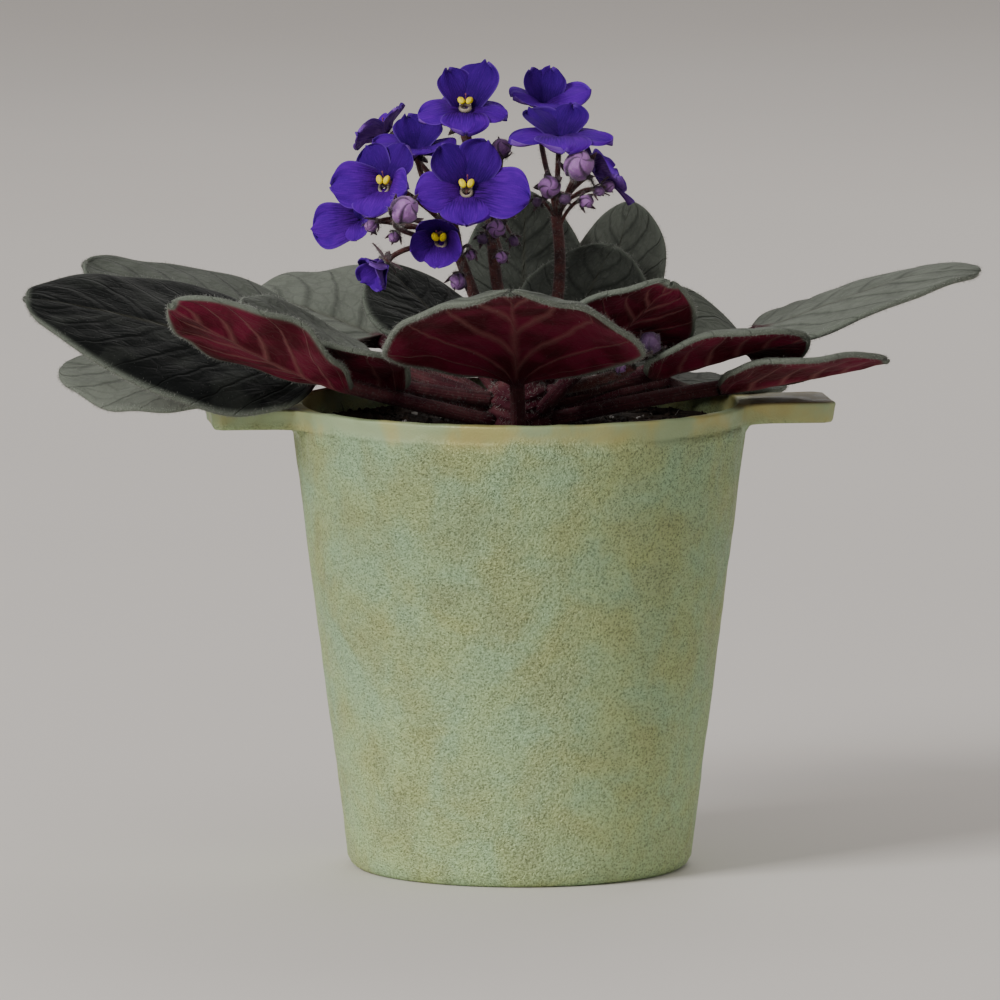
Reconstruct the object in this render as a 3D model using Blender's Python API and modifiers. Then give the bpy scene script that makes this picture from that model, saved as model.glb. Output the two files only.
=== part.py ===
"""African violet in a cast pot with two tab handles.

The plant is a rosette of fleshy leaves on round stalks about one short crown, with
branched flower stalks that carry five-lobed flowers and buds. The pot is one casting.
The origin is under the middle of the pot, on the surface it stands on: +Z is up, the
handles lie nearly along X, and -Y is the front.
"""
import math
from typing import NamedTuple

import bmesh
import bpy
from mathutils import Matrix, Vector

MM = 0.001
GAP = 0.3 * MM

# Pot: a cone standing on its narrow end, with a flat handle on each side of the rim.
POT_HEIGHT = 130 * MM
RIM_RADIUS = 64 * MM
FOOT_RADIUS = 47.5 * MM
WALL = 3.5 * MM
FLOOR = 6 * MM
LIP_ROUND = 0.8 * MM
FOOT_ROUND = 3 * MM
POT_STEPS = 56
HANDLE_REACH = 87 * MM
HANDLE_HALF_WIDTH = 14 * MM
HANDLE_THICKNESS = 6 * MM
HANDLE_FILLET = 12 * MM
HANDLE_CORNER = 2.5 * MM
HANDLE_ARC_STEPS = 6
HANDLE_ROOT_STEPS = 4
HANDLE_TURN = math.radians(6.5)

# Soil: it fills the pot to a little under the rim, with a socket for the crown.
SOIL_EDGE = 123 * MM
SOIL_MIDDLE = 122.2 * MM
SOIL_STEPS = 40
SOIL_RINGS = 4

# Crown: the short stem that every leaf and flower stalk grows from.
CROWN_RADIUS = 8.5 * MM
CROWN_TOP = 137 * MM
CROWN_DOME = 6 * MM
CROWN_ROOT_RADIUS = 6 * MM
CROWN_ROOT_DEPTH = 10 * MM
CROWN_STEPS = 20
CROWN_RINGS = 5

# Leaves
LEAF_ORIGIN_RADIUS = 11.2 * MM
LEAF_SIDES = 10
PETIOLE_STATIONS = 4
BLADE_STATIONS = 10
STATION_SPREAD = 1.15
STEPS_BETWEEN_STATIONS = 4
PETIOLE_RADIUS = 2.1 * MM
PETIOLE_TAPER = 0.7
BLADE_HALF_THICKNESS = 0.9 * MM
BLADE_START = 0.12
OUTLINE_PEAK = 0.72
OUTLINE_BLUNTNESS = 0.52

# Flowers
COROLLA_SIDES = 30
COROLLA_HALF_THICKNESS = 0.45 * MM
THROAT_SHARE = 0.45
LOBES = 5
LOBE_MEAN = 0.93
LOBE_DIFFERENCE = 0.12
NOTCH = 0.62
ANTHER_RADIUS = 1.5 * MM
ANTHER_SPACING = 1.4 * MM
ANTHER_WAIST = 0.65
ANTHER_LIFT = 0.3 * MM
STAMEN_STEPS = 10
STAMEN_RINGS = 8
BUD_STEPS = 10
BUD_RINGS = 6
BUD_STRETCH = 1.15
BUD_SEAT = 0.7

# Flower stalks
TUBE_RESOLUTION = 1
PEDUNCLE_RADIUS = 1.9 * MM
PEDUNCLE_TAPER = 0.2
PEDUNCLE_STEPS = 8
BRANCHING = 0.12
PEDICEL_RADIUS = 0.8 * MM
PEDICEL_STEPS = 5
PEDICEL_RISE = 0.25
PEDICEL_BEND = 0.4
CALYX_RADIUS = 1.9 * MM
CALYX_LENGTH = 2 * MM
CALYX_GAP = 0.5 * MM


class Leaf(NamedTuple):
    """One leaf, in millimetres and degrees.

    The heading turns anticlockwise from +X seen from above. The pitches are at the crown,
    at the blade's start, at its middle and at its tip. Roll lifts the blade's left side,
    seen from the crown, at the blade's start and tip. The folds lift the left and right
    halves, at even steps from its start to its tip, and curl bends the margins. The wedge
    is the share of the blade over which it widens slowly from its stalk.
    """
    name: str
    heading: float
    height: float
    petiole: float
    length: float
    width: float
    pitches: tuple
    roll: tuple = (0, 0)
    left_fold: tuple = (0, 0)
    right_fold: tuple = (0, 0)
    curl: float = -12
    wedge: float = 0


class Flower(NamedTuple):
    """One corolla, in millimetres and degrees: where its throat is and where it faces."""
    name: str
    stalk: str
    centre: tuple
    azimuth: float
    elevation: float
    radius: float
    spin: float = 0
    cup: float = 0.12
    stamens: bool = False


class Bud(NamedTuple):
    """One closed bud, in millimetres and degrees."""
    name: str
    stalk: str
    centre: tuple
    azimuth: float
    elevation: float
    radius: float


LEAVES = (
    Leaf("leaf_front", 268, 125.2, 15, 66, 74, (60, 44, 30, 10), curl=-34, wedge=0.42),
    Leaf("leaf_front_left", 212, 125.2, 44, 64, 36, (14, 16, 26, 29), (12, 50), (5, 5),
         (15, 25), wedge=0.45),
    Leaf("leaf_left_main", 185, 127.4, 46, 84, 62, (17, 14, 16, 9), (-24, -26), curl=-20),
    Leaf("leaf_left_back", 166, 130.8, 55, 64, 50, (15, 17, 18, 15), (-16, -16)),
    Leaf("leaf_left_low", 155, 125.2, 58, 74, 56, (14, 4, -2, -5), (-18, -18)),
    Leaf("leaf_left_mid", 203, 131, 26, 53, 48, (8, 12, 31, 30), (0, -10), (30, 8), (34, 22)),
    Leaf("leaf_left_up", 142, 129.6, 40, 52, 58, (22, 18, 12, 4), (0, 0), (-12, -5), (28, 20)),
    Leaf("leaf_back_left", 134, 134, 16, 36, 42, (42, 34, 32, 34)),
    Leaf("leaf_back_tall", 88, 129.6, 30, 36, 34, (50, 56, 56, 56)),
    Leaf("leaf_back_right", 57, 129.6, 33, 38, 34, (30, 40, 64, 66)),
    Leaf("leaf_back_mid", 45, 134.3, 12, 32, 42, (56, 55, 54, 54), (20, 20)),
    Leaf("leaf_right_up", 312, 129.6, 24, 39, 42, (40, 38, 36, 32), (-15, -20)),
    Leaf("leaf_right_fold", 342.5, 133, 28, 46, 46, (9, 14, 18, 9), (-4, -4),
         (145, 98, 4, -10, -10), (24, 28), curl=-45),
    Leaf("leaf_right_long", 9, 129.6, 58, 66, 44, (17, 19, 20, 2), (4, 6)),
    Leaf("leaf_right_low", 352, 125.2, 46, 47, 46, (14, 9, 10, 12), (-12, -8), (8, 8), (10, 10)),
    Leaf("leaf_rear_left", 134, 125.2, 40, 50, 40, (20, 6, -4, -6)),
    Leaf("leaf_rear", 100, 125.2, 40, 54, 38, (20, 6, -4, -8)),
    Leaf("leaf_rear_right", 66, 125.2, 40, 54, 42, (20, 6, -4, -8)),
    Leaf("leaf_right_back", 32, 125.2, 38, 38, 40, (16, 4, -4, -8)),
)

# Stalks: the points of each flower stalk, from the crown to where it branches.
STALKS = {
    "stalk_left": ((-4, -3, 138.5), (-9, -6, 150), (-13, -8, 161), (-17, -8, 172)),
    "stalk_middle": ((0, -6, 138), (-4, -5, 150), (-7.5, -3, 163), (-8, -2, 184)),
    "stalk_right": ((5, -2, 138.5), (10, -2, 151), (13, -3, 165), (10, -4, 182)),
    "stalk_low": ((10.6, -7.4, 134), (19, -12, 136), (27, -18, 138), (31, -22, 142)),
}

FLOWERS = (
    Flower("flower_front", "stalk_middle", (-14.6, -26, 191.2), 270, 30, 16, 0, 0.1, True),
    Flower("flower_left", "stalk_left", (-36.5, -18, 192), 240, 14, 13.9, 0, 0.1, True),
    Flower("flower_far_left", "stalk_left", (-44, -2, 180.5), 235, 5, 15),
    Flower("flower_small", "stalk_left", (-21.5, -21, 178), 255, -20, 10, 0, 0.5, True),
    Flower("flower_top", "stalk_middle", (-15, -5, 211.5), 270, 60, 15, 0, 0.1, True),
    Flower("flower_upright", "stalk_right", (6.5, 12, 211), 290, 60, 13.5),
    Flower("flower_middle", "stalk_right", (11, -8, 204), 280, 75, 16),
    Flower("flower_right", "stalk_right", (20.5, 0, 193.5), 0, 30, 15),
    Flower("flower_upper_left", "stalk_left", (-37, 16, 203), 165, 35, 11),
    Flower("flower_rear", "stalk_middle", (-16, 17, 206.5), 90, 40, 10.5),
    Flower("flower_band", "stalk_left", (-28.5, 0, 199.5), 255, 72, 13.5),
    Flower("flower_low", "stalk_left", (-37.4, -19, 170), 210, -40, 9),
)

BUDS = (
    Bud("bud_left", "stalk_left", (-31.6, -36, 186.5), 300, 30, 3.7),
    Bud("bud_right", "stalk_right", (16.3, -16, 197), 280, 30, 4.0),
    Bud("bud_middle", "stalk_right", (8.2, -14, 190.8), 270, 0, 3.0),
    Bud("bud_right_small", "stalk_right", (18.5, -12, 186.6), 300, 0, 1.9),
    Bud("bud_high", "stalk_middle", (-5, -4, 200.7), 270, 50, 2.5),
    Bud("bud_under", "stalk_middle", (-6.5, -16, 179.5), 270, 0, 2.5),
    Bud("bud_tiny", "stalk_middle", (-5, -16, 171.4), 270, -20, 1.6),
    Bud("bud_low", "stalk_left", (-17, -18, 165), 260, -30, 2.2),
    Bud("bud_dark", "stalk_low", (36, -34, 149.6), 300, 50, 2.8),
)

# Colours of the stand-in materials: red, green, blue, roughness, metallic.
COLOURS = {
    "pot": (0.30, 0.33, 0.12, 0.6, 0.8),
    "soil": (0.03, 0.02, 0.014, 0.95, 0.0),
    "crown": (0.12, 0.10, 0.04, 0.8, 0.0),
    "leaf": (0.05, 0.09, 0.05, 0.75, 0.0),
    "stalk": (0.16, 0.03, 0.03, 0.7, 0.0),
    "flower": (0.05, 0.006, 0.35, 0.6, 0.0),
    "stamens": (0.9, 0.65, 0.02, 0.5, 0.0),
    "bud": (0.25, 0.10, 0.22, 0.7, 0.0),
}


def clear_scene():
    """Remove every object that the file opened with."""
    for old in list(bpy.data.objects):
        bpy.data.objects.remove(old, do_unlink=True)


def new_collection(name):
    """A new collection in the scene."""
    collection = bpy.data.collections.new(name)
    bpy.context.scene.collection.children.link(collection)
    return collection


def material(name, kind):
    """The stand-in finish of one object."""
    red, green, blue, roughness, metallic = COLOURS[kind]
    finish = bpy.data.materials.new(name)
    finish.use_nodes = True
    shader = finish.node_tree.nodes["Principled BSDF"]
    shader.inputs["Base Color"].default_value = (red, green, blue, 1)
    shader.inputs["Roughness"].default_value = roughness
    shader.inputs["Metallic"].default_value = metallic
    return finish


def add_object(name, mesh, collection, kind, place=Matrix.Identity(4)):
    """An object for a mesh, with its own finish, shaded smooth."""
    mesh.materials.clear()
    mesh.materials.append(material(name + "_finish", kind))
    mesh.shade_smooth()
    piece = bpy.data.objects.new(name, mesh)
    piece.matrix_world = place
    collection.objects.link(piece)
    return piece


def mesh_from_rings(name, rings, start=None, end=None):
    """A closed loft through rings of points, with a point or a flat face at each end."""
    shape = bmesh.new()
    loops = [[shape.verts.new(point) for point in ring] for ring in rings]
    sides = len(loops[0])
    for lower, upper in zip(loops, loops[1:]):
        for side in range(sides):
            after = (side + 1) % sides
            shape.faces.new((lower[side], lower[after], upper[after], upper[side]))
    for loop, pole in ((loops[0], start), (loops[-1], end)):
        if pole is None:
            shape.faces.new(loop)
            continue
        tip = shape.verts.new(pole)
        for side in range(sides):
            shape.faces.new((loop[side], loop[(side + 1) % sides], tip))
    bmesh.ops.recalc_face_normals(shape, faces=shape.faces)
    mesh = bpy.data.meshes.new(name)
    shape.to_mesh(mesh)
    shape.free()
    return mesh


def turned(name, profile, steps, collection, kind, place=Matrix.Identity(4)):
    """A turned shape: radius and height pairs, down the outer side from the top."""
    shape = bmesh.new()
    points = [shape.verts.new((radius, 0, height)) for radius, height in profile]
    for upper, lower in zip(points, points[1:]):
        shape.edges.new((upper, lower))
    if profile[0][0] > 0:
        shape.edges.new((points[-1], points[0]))
    mesh = bpy.data.meshes.new(name)
    shape.to_mesh(mesh)
    shape.free()
    piece = add_object(name, mesh, collection, kind, place)
    screw = piece.modifiers.new("turn", "SCREW")
    screw.steps = steps
    screw.render_steps = steps
    screw.use_merge_vertices = True
    screw.merge_threshold = 0.00001
    return piece


def make_cutter(piece):
    """Mark an object as one that only shapes another."""
    piece.hide_render = True
    piece.display_type = "WIRE"


def join(piece, other):
    """Join another object to a piece with a union."""
    union = piece.modifiers.new("join", "BOOLEAN")
    union.operation = "UNION"
    union.solver = "EXACT"
    union.object = other
    make_cutter(other)


def facing(azimuth, elevation):
    """The unit vector at a compass direction and a height, in degrees."""
    turn, lift = math.radians(azimuth), math.radians(elevation)
    return Vector((math.cos(lift) * math.cos(turn), math.cos(lift) * math.sin(turn), math.sin(lift)))


def facing_place(centre, azimuth, elevation, spin=0.0):
    """The place whose Z points along a direction and whose Y leans upward."""
    out = facing(azimuth, elevation)
    right = Vector((-math.sin(math.radians(azimuth)), math.cos(math.radians(azimuth)), 0))
    up = out.cross(right)
    place = Matrix((right, up, out)).transposed().to_4x4()
    place.translation = Vector(centre) * MM
    return place @ Matrix.Rotation(math.radians(spin), 4, "Z")


# ---------------------------------------------------------------- pot, soil, crown

def outer_radius(height):
    """The pot's outer radius at a height."""
    return FOOT_RADIUS + (RIM_RADIUS - FOOT_RADIUS) * height / POT_HEIGHT


def quarter(centre, radius, first, steps=3):
    """Points on a quarter circle, clockwise from an angle in degrees."""
    angles = [math.radians(first - 90 * step / steps) for step in range(steps + 1)]
    return [(centre[0] + radius * math.cos(a), centre[1] + radius * math.sin(a)) for a in angles]


def pot_profile():
    """The section of the pot, from the top of the lip down the outside and up the inside."""
    lip = quarter((RIM_RADIUS - LIP_ROUND, POT_HEIGHT - LIP_ROUND), LIP_ROUND, 90)
    foot = quarter((outer_radius(0) - FOOT_ROUND, FOOT_ROUND), FOOT_ROUND, 0)
    inside = [(0, 0), (0, FLOOR), (outer_radius(FLOOR) - WALL, FLOOR)]
    return lip + foot + inside + [(RIM_RADIUS - WALL, POT_HEIGHT)]


def handle_outline():
    """Half the plan of one handle, from its end to the rim, in the pot's frame.

    The side runs straight back from a small corner to a hollow round that is tangent to
    it and to the rim, and then the outline follows the middle of the wall.
    """
    rim = RIM_RADIUS
    hollow_y = HANDLE_HALF_WIDTH + HANDLE_FILLET
    hollow_x = math.sqrt((rim + HANDLE_FILLET) ** 2 - hollow_y ** 2)
    meeting = math.atan2(hollow_y, hollow_x)
    points = [(HANDLE_REACH, HANDLE_HALF_WIDTH - HANDLE_CORNER),
              (HANDLE_REACH - HANDLE_CORNER, HANDLE_HALF_WIDTH)]
    for step in range(HANDLE_ARC_STEPS + 1):
        angle = -math.pi / 2 - step / HANDLE_ARC_STEPS * (math.pi / 2 - meeting)
        points.append((hollow_x + HANDLE_FILLET * math.cos(angle),
                       hollow_y + HANDLE_FILLET * math.sin(angle)))
    middle = rim - WALL / 2
    for step in range(HANDLE_ROOT_STEPS + 1):
        angle = meeting * (1 - step / HANDLE_ROOT_STEPS)
        points.append((middle * math.cos(angle), middle * math.sin(angle)))
    return points


def build_handle(name, turn, cutters):
    """A handle plate, which the pot is joined to."""
    half = handle_outline()
    outline = half + [(x, -y) for x, y in reversed(half[:-1])]
    low, high = POT_HEIGHT - HANDLE_THICKNESS, POT_HEIGHT
    rings = [[(x, y, level) for x, y in outline] for level in (low, high)]
    plate = add_object(name, mesh_from_rings(name, rings), cutters, "pot",
                       Matrix.Rotation(turn, 4, "Z"))
    return plate


def build_pot(parts, cutters):
    """The pot: a turned shell joined to its two handles."""
    pot = turned("pot", pot_profile(), POT_STEPS, parts, "pot")
    for name, turn in (("handle_right", HANDLE_TURN), ("handle_left", HANDLE_TURN + math.pi)):
        join(pot, build_handle(name, turn, cutters))
    return pot


def soil_height(radius):
    """The soil's surface, which dips a little from the pot's wall to the crown."""
    edge = outer_radius(SOIL_EDGE) - WALL - GAP
    return SOIL_MIDDLE + (SOIL_EDGE - SOIL_MIDDLE) * (radius / edge) ** 2


def build_soil(parts):
    """The soil, which fills the pot, with a socket in its middle."""
    edge = outer_radius(SOIL_EDGE) - WALL - GAP
    base = FLOOR + GAP
    socket = CROWN_ROOT_RADIUS + GAP
    floor = SOIL_MIDDLE - CROWN_ROOT_DEPTH
    surface = [socket + (edge - socket) * step / SOIL_RINGS for step in range(SOIL_RINGS + 1)]
    profile = [(radius, soil_height(radius)) for radius in surface]
    profile += [(outer_radius(base) - WALL - GAP, base), (0, base), (0, floor), (socket, floor)]
    return turned("soil", profile, SOIL_STEPS, parts, "soil")


def build_crown(parts):
    """The crown: a domed stem with a root end in the soil's socket."""
    collar = SOIL_MIDDLE + GAP
    shoulder = CROWN_TOP - CROWN_DOME
    profile = []
    for step in range(CROWN_RINGS + 1):
        angle = math.pi / 2 * (1 - step / CROWN_RINGS)
        profile.append((CROWN_RADIUS * math.cos(angle), shoulder + CROWN_DOME * math.sin(angle)))
    profile[0] = (0, CROWN_TOP)
    root = SOIL_MIDDLE - CROWN_ROOT_DEPTH + GAP
    profile += [(CROWN_RADIUS, collar), (CROWN_ROOT_RADIUS, collar), (CROWN_ROOT_RADIUS, root),
                (0, root)]
    return turned("crown", profile, CROWN_STEPS, parts, "crown")


# ---------------------------------------------------------------- leaves

def smooth(value):
    """A step from 0 to 1 that starts and ends level."""
    value = min(max(value, 0.0), 1.0)
    return value * value * (3 - 2 * value)


def between(value, knots, levels):
    """A straight-line reading of levels at knots."""
    for index in range(len(knots) - 1):
        if value <= knots[index + 1]:
            share = (value - knots[index]) / (knots[index + 1] - knots[index])
            return levels[index] + (levels[index + 1] - levels[index]) * max(share, 0.0)
    return levels[-1]


def blade_width(leaf, along):
    """The blade's half width, as a share of its widest, at a share of its length."""
    along = min(max(along, 0.0), 1.0)
    width = max(math.sin(math.pi * along ** OUTLINE_PEAK), 0.0) ** OUTLINE_BLUNTNESS
    return width * math.sqrt(min(along / leaf.wedge, 1.0)) if leaf.wedge else width


def leaf_distances(leaf):
    """How far along the stalk and blade each station is, closer together at the blade's base."""
    petiole, length = leaf.petiole * MM, leaf.length * MM
    stalk = [petiole * step / PETIOLE_STATIONS for step in range(PETIOLE_STATIONS)]
    blade = [petiole + length * (step / BLADE_STATIONS) ** STATION_SPREAD
             for step in range(BLADE_STATIONS + 1)]
    return stalk + blade


def leaf_direction(leaf, distance):
    """The midrib's direction at a distance along the leaf."""
    petiole, length = leaf.petiole * MM, leaf.length * MM
    knots = (0, petiole, petiole + length / 2, petiole + length)
    return facing(leaf.heading, between(distance, knots, leaf.pitches))


def leaf_frames(leaf):
    """The midrib's stations: place, side, upward normal and share of the blade's length."""
    place = facing(leaf.heading, 0) * LEAF_ORIGIN_RADIUS + Vector((0, 0, leaf.height * MM))
    frames = []
    previous = 0.0
    for distance in leaf_distances(leaf):
        stride = (distance - previous) / STEPS_BETWEEN_STATIONS
        for step in range(STEPS_BETWEEN_STATIONS):
            place = place + leaf_direction(leaf, previous + stride * (step + 0.5)) * stride
        previous = distance
        along = (distance - leaf.petiole * MM) / (leaf.length * MM)
        forward = leaf_direction(leaf, distance)
        level_side = facing(leaf.heading + 90, 0)
        level_up = forward.cross(level_side)
        roll = math.radians(between(along, (-0.5, 0, 1), (0,) + tuple(leaf.roll)))
        side = level_side * math.cos(roll) + level_up * math.sin(roll)
        up = level_up * math.cos(roll) - level_side * math.sin(roll)
        frames.append((place, side, up, along))
    return frames


def leaf_ring(leaf, frame):
    """One section across a leaf: a round stalk that opens out into a thin, folded blade."""
    place, side, up, along = frame
    blade = smooth(along / BLADE_START)
    stalk_radius = PETIOLE_RADIUS * (1 - PETIOLE_TAPER * max(along, 0))
    half_width = max(leaf.width / 2 * MM * blade_width(leaf, along), stalk_radius)
    thickness = PETIOLE_RADIUS + (BLADE_HALF_THICKNESS - PETIOLE_RADIUS) * blade
    ring = []
    for index in range(LEAF_SIDES):
        angle = 2 * math.pi * index / LEAF_SIDES
        out = math.cos(angle)
        fold = leaf.left_fold if out > 0 else leaf.right_fold
        steps = [index / (len(fold) - 1) for index in range(len(fold))]
        lift = math.radians(between(along, steps, fold) + leaf.curl * out * out / 3) * blade
        across = out * half_width * math.cos(lift)
        height = abs(out) * half_width * math.sin(lift) + thickness * math.sin(angle)
        ring.append(place + side * across + up * height)
    return ring


def build_leaf(leaf, parts):
    """One leaf with its stalk."""
    frames = leaf_frames(leaf)
    rings = [leaf_ring(leaf, frame) for frame in frames[:-1]]
    mesh = mesh_from_rings(leaf.name, rings, end=frames[-1][0])
    return add_object(leaf.name, mesh, parts, "leaf")


# ---------------------------------------------------------------- flower stalks

def tube(name, points, radii, cutters):
    """A tapering tube through points, as a closed mesh."""
    curve = bpy.data.curves.new(name, "CURVE")
    curve.dimensions = "3D"
    curve.bevel_depth = 1.0
    curve.bevel_resolution = TUBE_RESOLUTION
    curve.use_fill_caps = True
    spline = curve.splines.new("POLY")
    spline.points.add(len(points) - 1)
    for spot, point, radius in zip(spline.points, points, radii):
        spot.co = (*point, 1)
        spot.radius = radius
    guide = bpy.data.objects.new(name, curve)
    cutters.objects.link(guide)
    evaluated = guide.evaluated_get(bpy.context.evaluated_depsgraph_get())
    mesh = bpy.data.meshes.new_from_object(evaluated)
    bpy.data.objects.remove(guide)
    shape = bmesh.new()
    shape.from_mesh(mesh)
    bmesh.ops.remove_doubles(shape, verts=shape.verts, dist=0.00001)
    bmesh.ops.recalc_face_normals(shape, faces=shape.faces)
    shape.to_mesh(mesh)
    shape.free()
    return mesh


def bezier(points, steps):
    """Points along a Bezier curve of any degree."""
    found = []
    for step in range(steps + 1):
        share = step / steps
        level = [Vector(point) for point in points]
        while len(level) > 1:
            level = [a.lerp(b, share) for a, b in zip(level, level[1:])]
        found.append(level[0])
    return found


def pedicel(head, start):
    """The small stalk that carries one flower or bud, with its flared calyx."""
    out = facing(head.azimuth, head.elevation)
    end = Vector(head.centre) * MM - out * head_depth(head)
    reach = (end - start).length
    rise = start + Vector((0, 0, 1)) * reach * PEDICEL_RISE
    bend = end - out * reach * PEDICEL_BEND
    points = bezier((start, rise, bend, end - out * CALYX_LENGTH), PEDICEL_STEPS) + [end]
    radii = [PEDICEL_RADIUS] * (PEDICEL_STEPS + 1) + [calyx_radius(head)]
    return points, radii


def calyx_radius(head):
    """The radius of the calyx at its mouth, which is smaller behind a small bud."""
    if isinstance(head, Flower):
        return CALYX_RADIUS
    return min(CALYX_RADIUS, head.radius * BUD_SEAT * MM)


def head_depth(head):
    """How far the calyx stands behind the centre of a flower or bud."""
    if isinstance(head, Flower):
        return COROLLA_HALF_THICKNESS + CALYX_GAP
    return head.radius * MM * BUD_STRETCH + GAP


def build_stalk(name, points, parts, cutters):
    """A flower stalk with all its branches, as one piece."""
    route = bezier([Vector(point) * MM for point in points], PEDUNCLE_STEPS)
    taper = [PEDUNCLE_RADIUS * (1 - PEDUNCLE_TAPER * step / PEDUNCLE_STEPS)
             for step in range(PEDUNCLE_STEPS + 1)]
    mesh = tube(name, route, taper, cutters)
    stalk = add_object(name, mesh, parts, "stalk")
    heads = [head for head in FLOWERS + BUDS if head.stalk == name]
    for order, head in enumerate(heads):
        below_end = BRANCHING * (order + 0.5) / len(heads)
        fork = route[-1].lerp(route[-2], below_end * PEDUNCLE_STEPS)
        branch_points, radii = pedicel(head, fork)
        branch_name = head.name + "_pedicel"
        branch = tube(branch_name, branch_points, radii, cutters)
        join(stalk, add_object(branch_name, branch, cutters, "stalk"))
    return stalk


# ---------------------------------------------------------------- flowers and buds

def lobe_radius(angle):
    """A corolla's radius, as a share of its largest: two short upper lobes, three longer."""
    size = LOBE_MEAN - LOBE_DIFFERENCE * math.sin(angle)
    first = math.radians(90 + 180 / LOBES)
    wave = abs(math.cos(LOBES / 2 * (angle - first))) ** 0.5
    return size * (NOTCH + (1 - NOTCH) * wave)


def build_corolla(flower, parts):
    """One corolla: a lobed dish, thin and closed."""
    radius = flower.radius * MM
    half = COROLLA_HALF_THICKNESS

    def ring(share, height):
        points = []
        for index in range(COROLLA_SIDES):
            angle = 2 * math.pi * index / COROLLA_SIDES
            reach = share * radius * lobe_radius(angle)
            points.append((reach * math.cos(angle), reach * math.sin(angle),
                           flower.cup * radius * share ** 2 + height))
        return points

    levels = ((THROAT_SHARE, -half), (1.0, -half), (1.0, half), (THROAT_SHARE, half))
    rings = [ring(share, height) for share, height in levels]
    mesh = mesh_from_rings(flower.name, rings, start=(0, 0, -half), end=(0, 0, half))
    place = facing_place(flower.centre, flower.azimuth, flower.elevation, flower.spin)
    return add_object(flower.name, mesh, parts, "flower", place)


def build_stamens(flower, parts):
    """The joined pair of anthers in the throat, as one turned shape with a waist."""
    half = ANTHER_SPACING + ANTHER_RADIUS
    profile = []
    for step in range(STAMEN_RINGS + 1):
        angle = math.pi * step / STAMEN_RINGS
        along = math.cos(angle)
        waist = ANTHER_WAIST + (1 - ANTHER_WAIST) * math.sin(math.pi * abs(along))
        profile.append((ANTHER_RADIUS * waist * math.sin(angle), half * along))
    profile[0] = (0, half)
    profile[-1] = (0, -half)
    place = facing_place(flower.centre, flower.azimuth, flower.elevation, flower.spin)
    lift = ANTHER_RADIUS + COROLLA_HALF_THICKNESS + GAP + ANTHER_LIFT
    place = place @ Matrix.Translation((0, 0, lift)) @ Matrix.Rotation(math.pi / 2, 4, "Y")
    name = flower.name.replace("flower", "stamens")
    return turned(name, profile, STAMEN_STEPS, parts, "stamens", place)


def build_bud(bud, parts):
    """One bud: an egg whose blunt end sits in its calyx."""
    radius = bud.radius * MM
    half = radius * BUD_STRETCH
    profile = []
    for step in range(BUD_RINGS + 1):
        angle = math.pi * step / BUD_RINGS
        profile.append((radius * math.sin(angle), half * math.cos(angle)))
    profile[0] = (0, half)
    profile[-1] = (0, -half)
    place = facing_place(bud.centre, bud.azimuth, bud.elevation)
    return turned(bud.name, profile, BUD_STEPS, parts, "bud", place)


def build():
    """Build the whole plant in its pot."""
    clear_scene()
    parts = new_collection("african_violet_in_pot")
    cutters = new_collection("cutters")
    build_pot(parts, cutters)
    build_soil(parts)
    build_crown(parts)
    for leaf in LEAVES:
        build_leaf(leaf, parts)
    for name, points in STALKS.items():
        build_stalk(name, points, parts, cutters)
    for flower in FLOWERS:
        build_corolla(flower, parts)
        if flower.stamens:
            build_stamens(flower, parts)
    for bud in BUDS:
        build_bud(bud, parts)


build()
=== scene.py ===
"""Looks of an African violet in a cast pot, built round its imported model.

Every length in the classes below is in millimetres and every angle in degrees, unless
a docstring says otherwise. The meshes are in metres.
"""

import logging
import math
from collections.abc import Sequence
from dataclasses import dataclass, field
from enum import Enum

import bpy
import numpy as np
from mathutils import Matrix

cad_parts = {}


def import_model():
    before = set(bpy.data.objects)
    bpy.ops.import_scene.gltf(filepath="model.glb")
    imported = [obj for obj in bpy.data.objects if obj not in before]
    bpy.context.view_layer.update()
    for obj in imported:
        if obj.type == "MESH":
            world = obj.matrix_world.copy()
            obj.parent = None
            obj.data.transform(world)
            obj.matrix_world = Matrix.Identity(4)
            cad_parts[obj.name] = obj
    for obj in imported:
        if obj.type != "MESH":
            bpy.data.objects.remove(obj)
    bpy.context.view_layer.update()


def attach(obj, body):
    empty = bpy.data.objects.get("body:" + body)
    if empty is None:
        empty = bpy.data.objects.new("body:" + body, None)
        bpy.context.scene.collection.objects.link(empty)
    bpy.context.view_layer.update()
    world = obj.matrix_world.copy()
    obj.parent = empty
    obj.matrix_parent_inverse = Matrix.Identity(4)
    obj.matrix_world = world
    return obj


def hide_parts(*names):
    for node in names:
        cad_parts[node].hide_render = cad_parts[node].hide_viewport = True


MM = 0.001
LOG = logging.getLogger("violet")
Array = np.ndarray
Colour = tuple[float, float, float]
Triple = tuple[float, float, float]
Value = bpy.types.NodeSocket | float | tuple


class Slot(Enum):
    """The record's material slots."""

    POT = "pot_casting"
    SOIL = "potting_soil"
    CROWN = "crown_flesh"
    LEAF = "leaf_velvet"
    STALK = "stalk_skin"
    PETAL = "petal"
    ANTHER = "anther"
    BUD = "bud_petal"


# ------------------------------------------------------------------ arrays

def smooth(value: Array | float) -> Array:
    """A step from 0 to 1 that starts and ends level."""
    held = np.clip(value, 0.0, 1.0)
    return held * held * (3 - 2 * held)


def unit(vectors: Array) -> Array:
    """The same directions, one unit long."""
    return vectors / np.maximum(np.linalg.norm(vectors, axis=-1, keepdims=True), 1e-12)


def facing(azimuth: Array | float, elevation: Array | float) -> Array:
    """Unit vectors at compass directions and heights, in degrees."""
    turn, lift = np.broadcast_arrays(np.radians(azimuth), np.radians(elevation))
    return np.stack((np.cos(lift) * np.cos(turn), np.cos(lift) * np.sin(turn), np.sin(lift)), -1)


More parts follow.
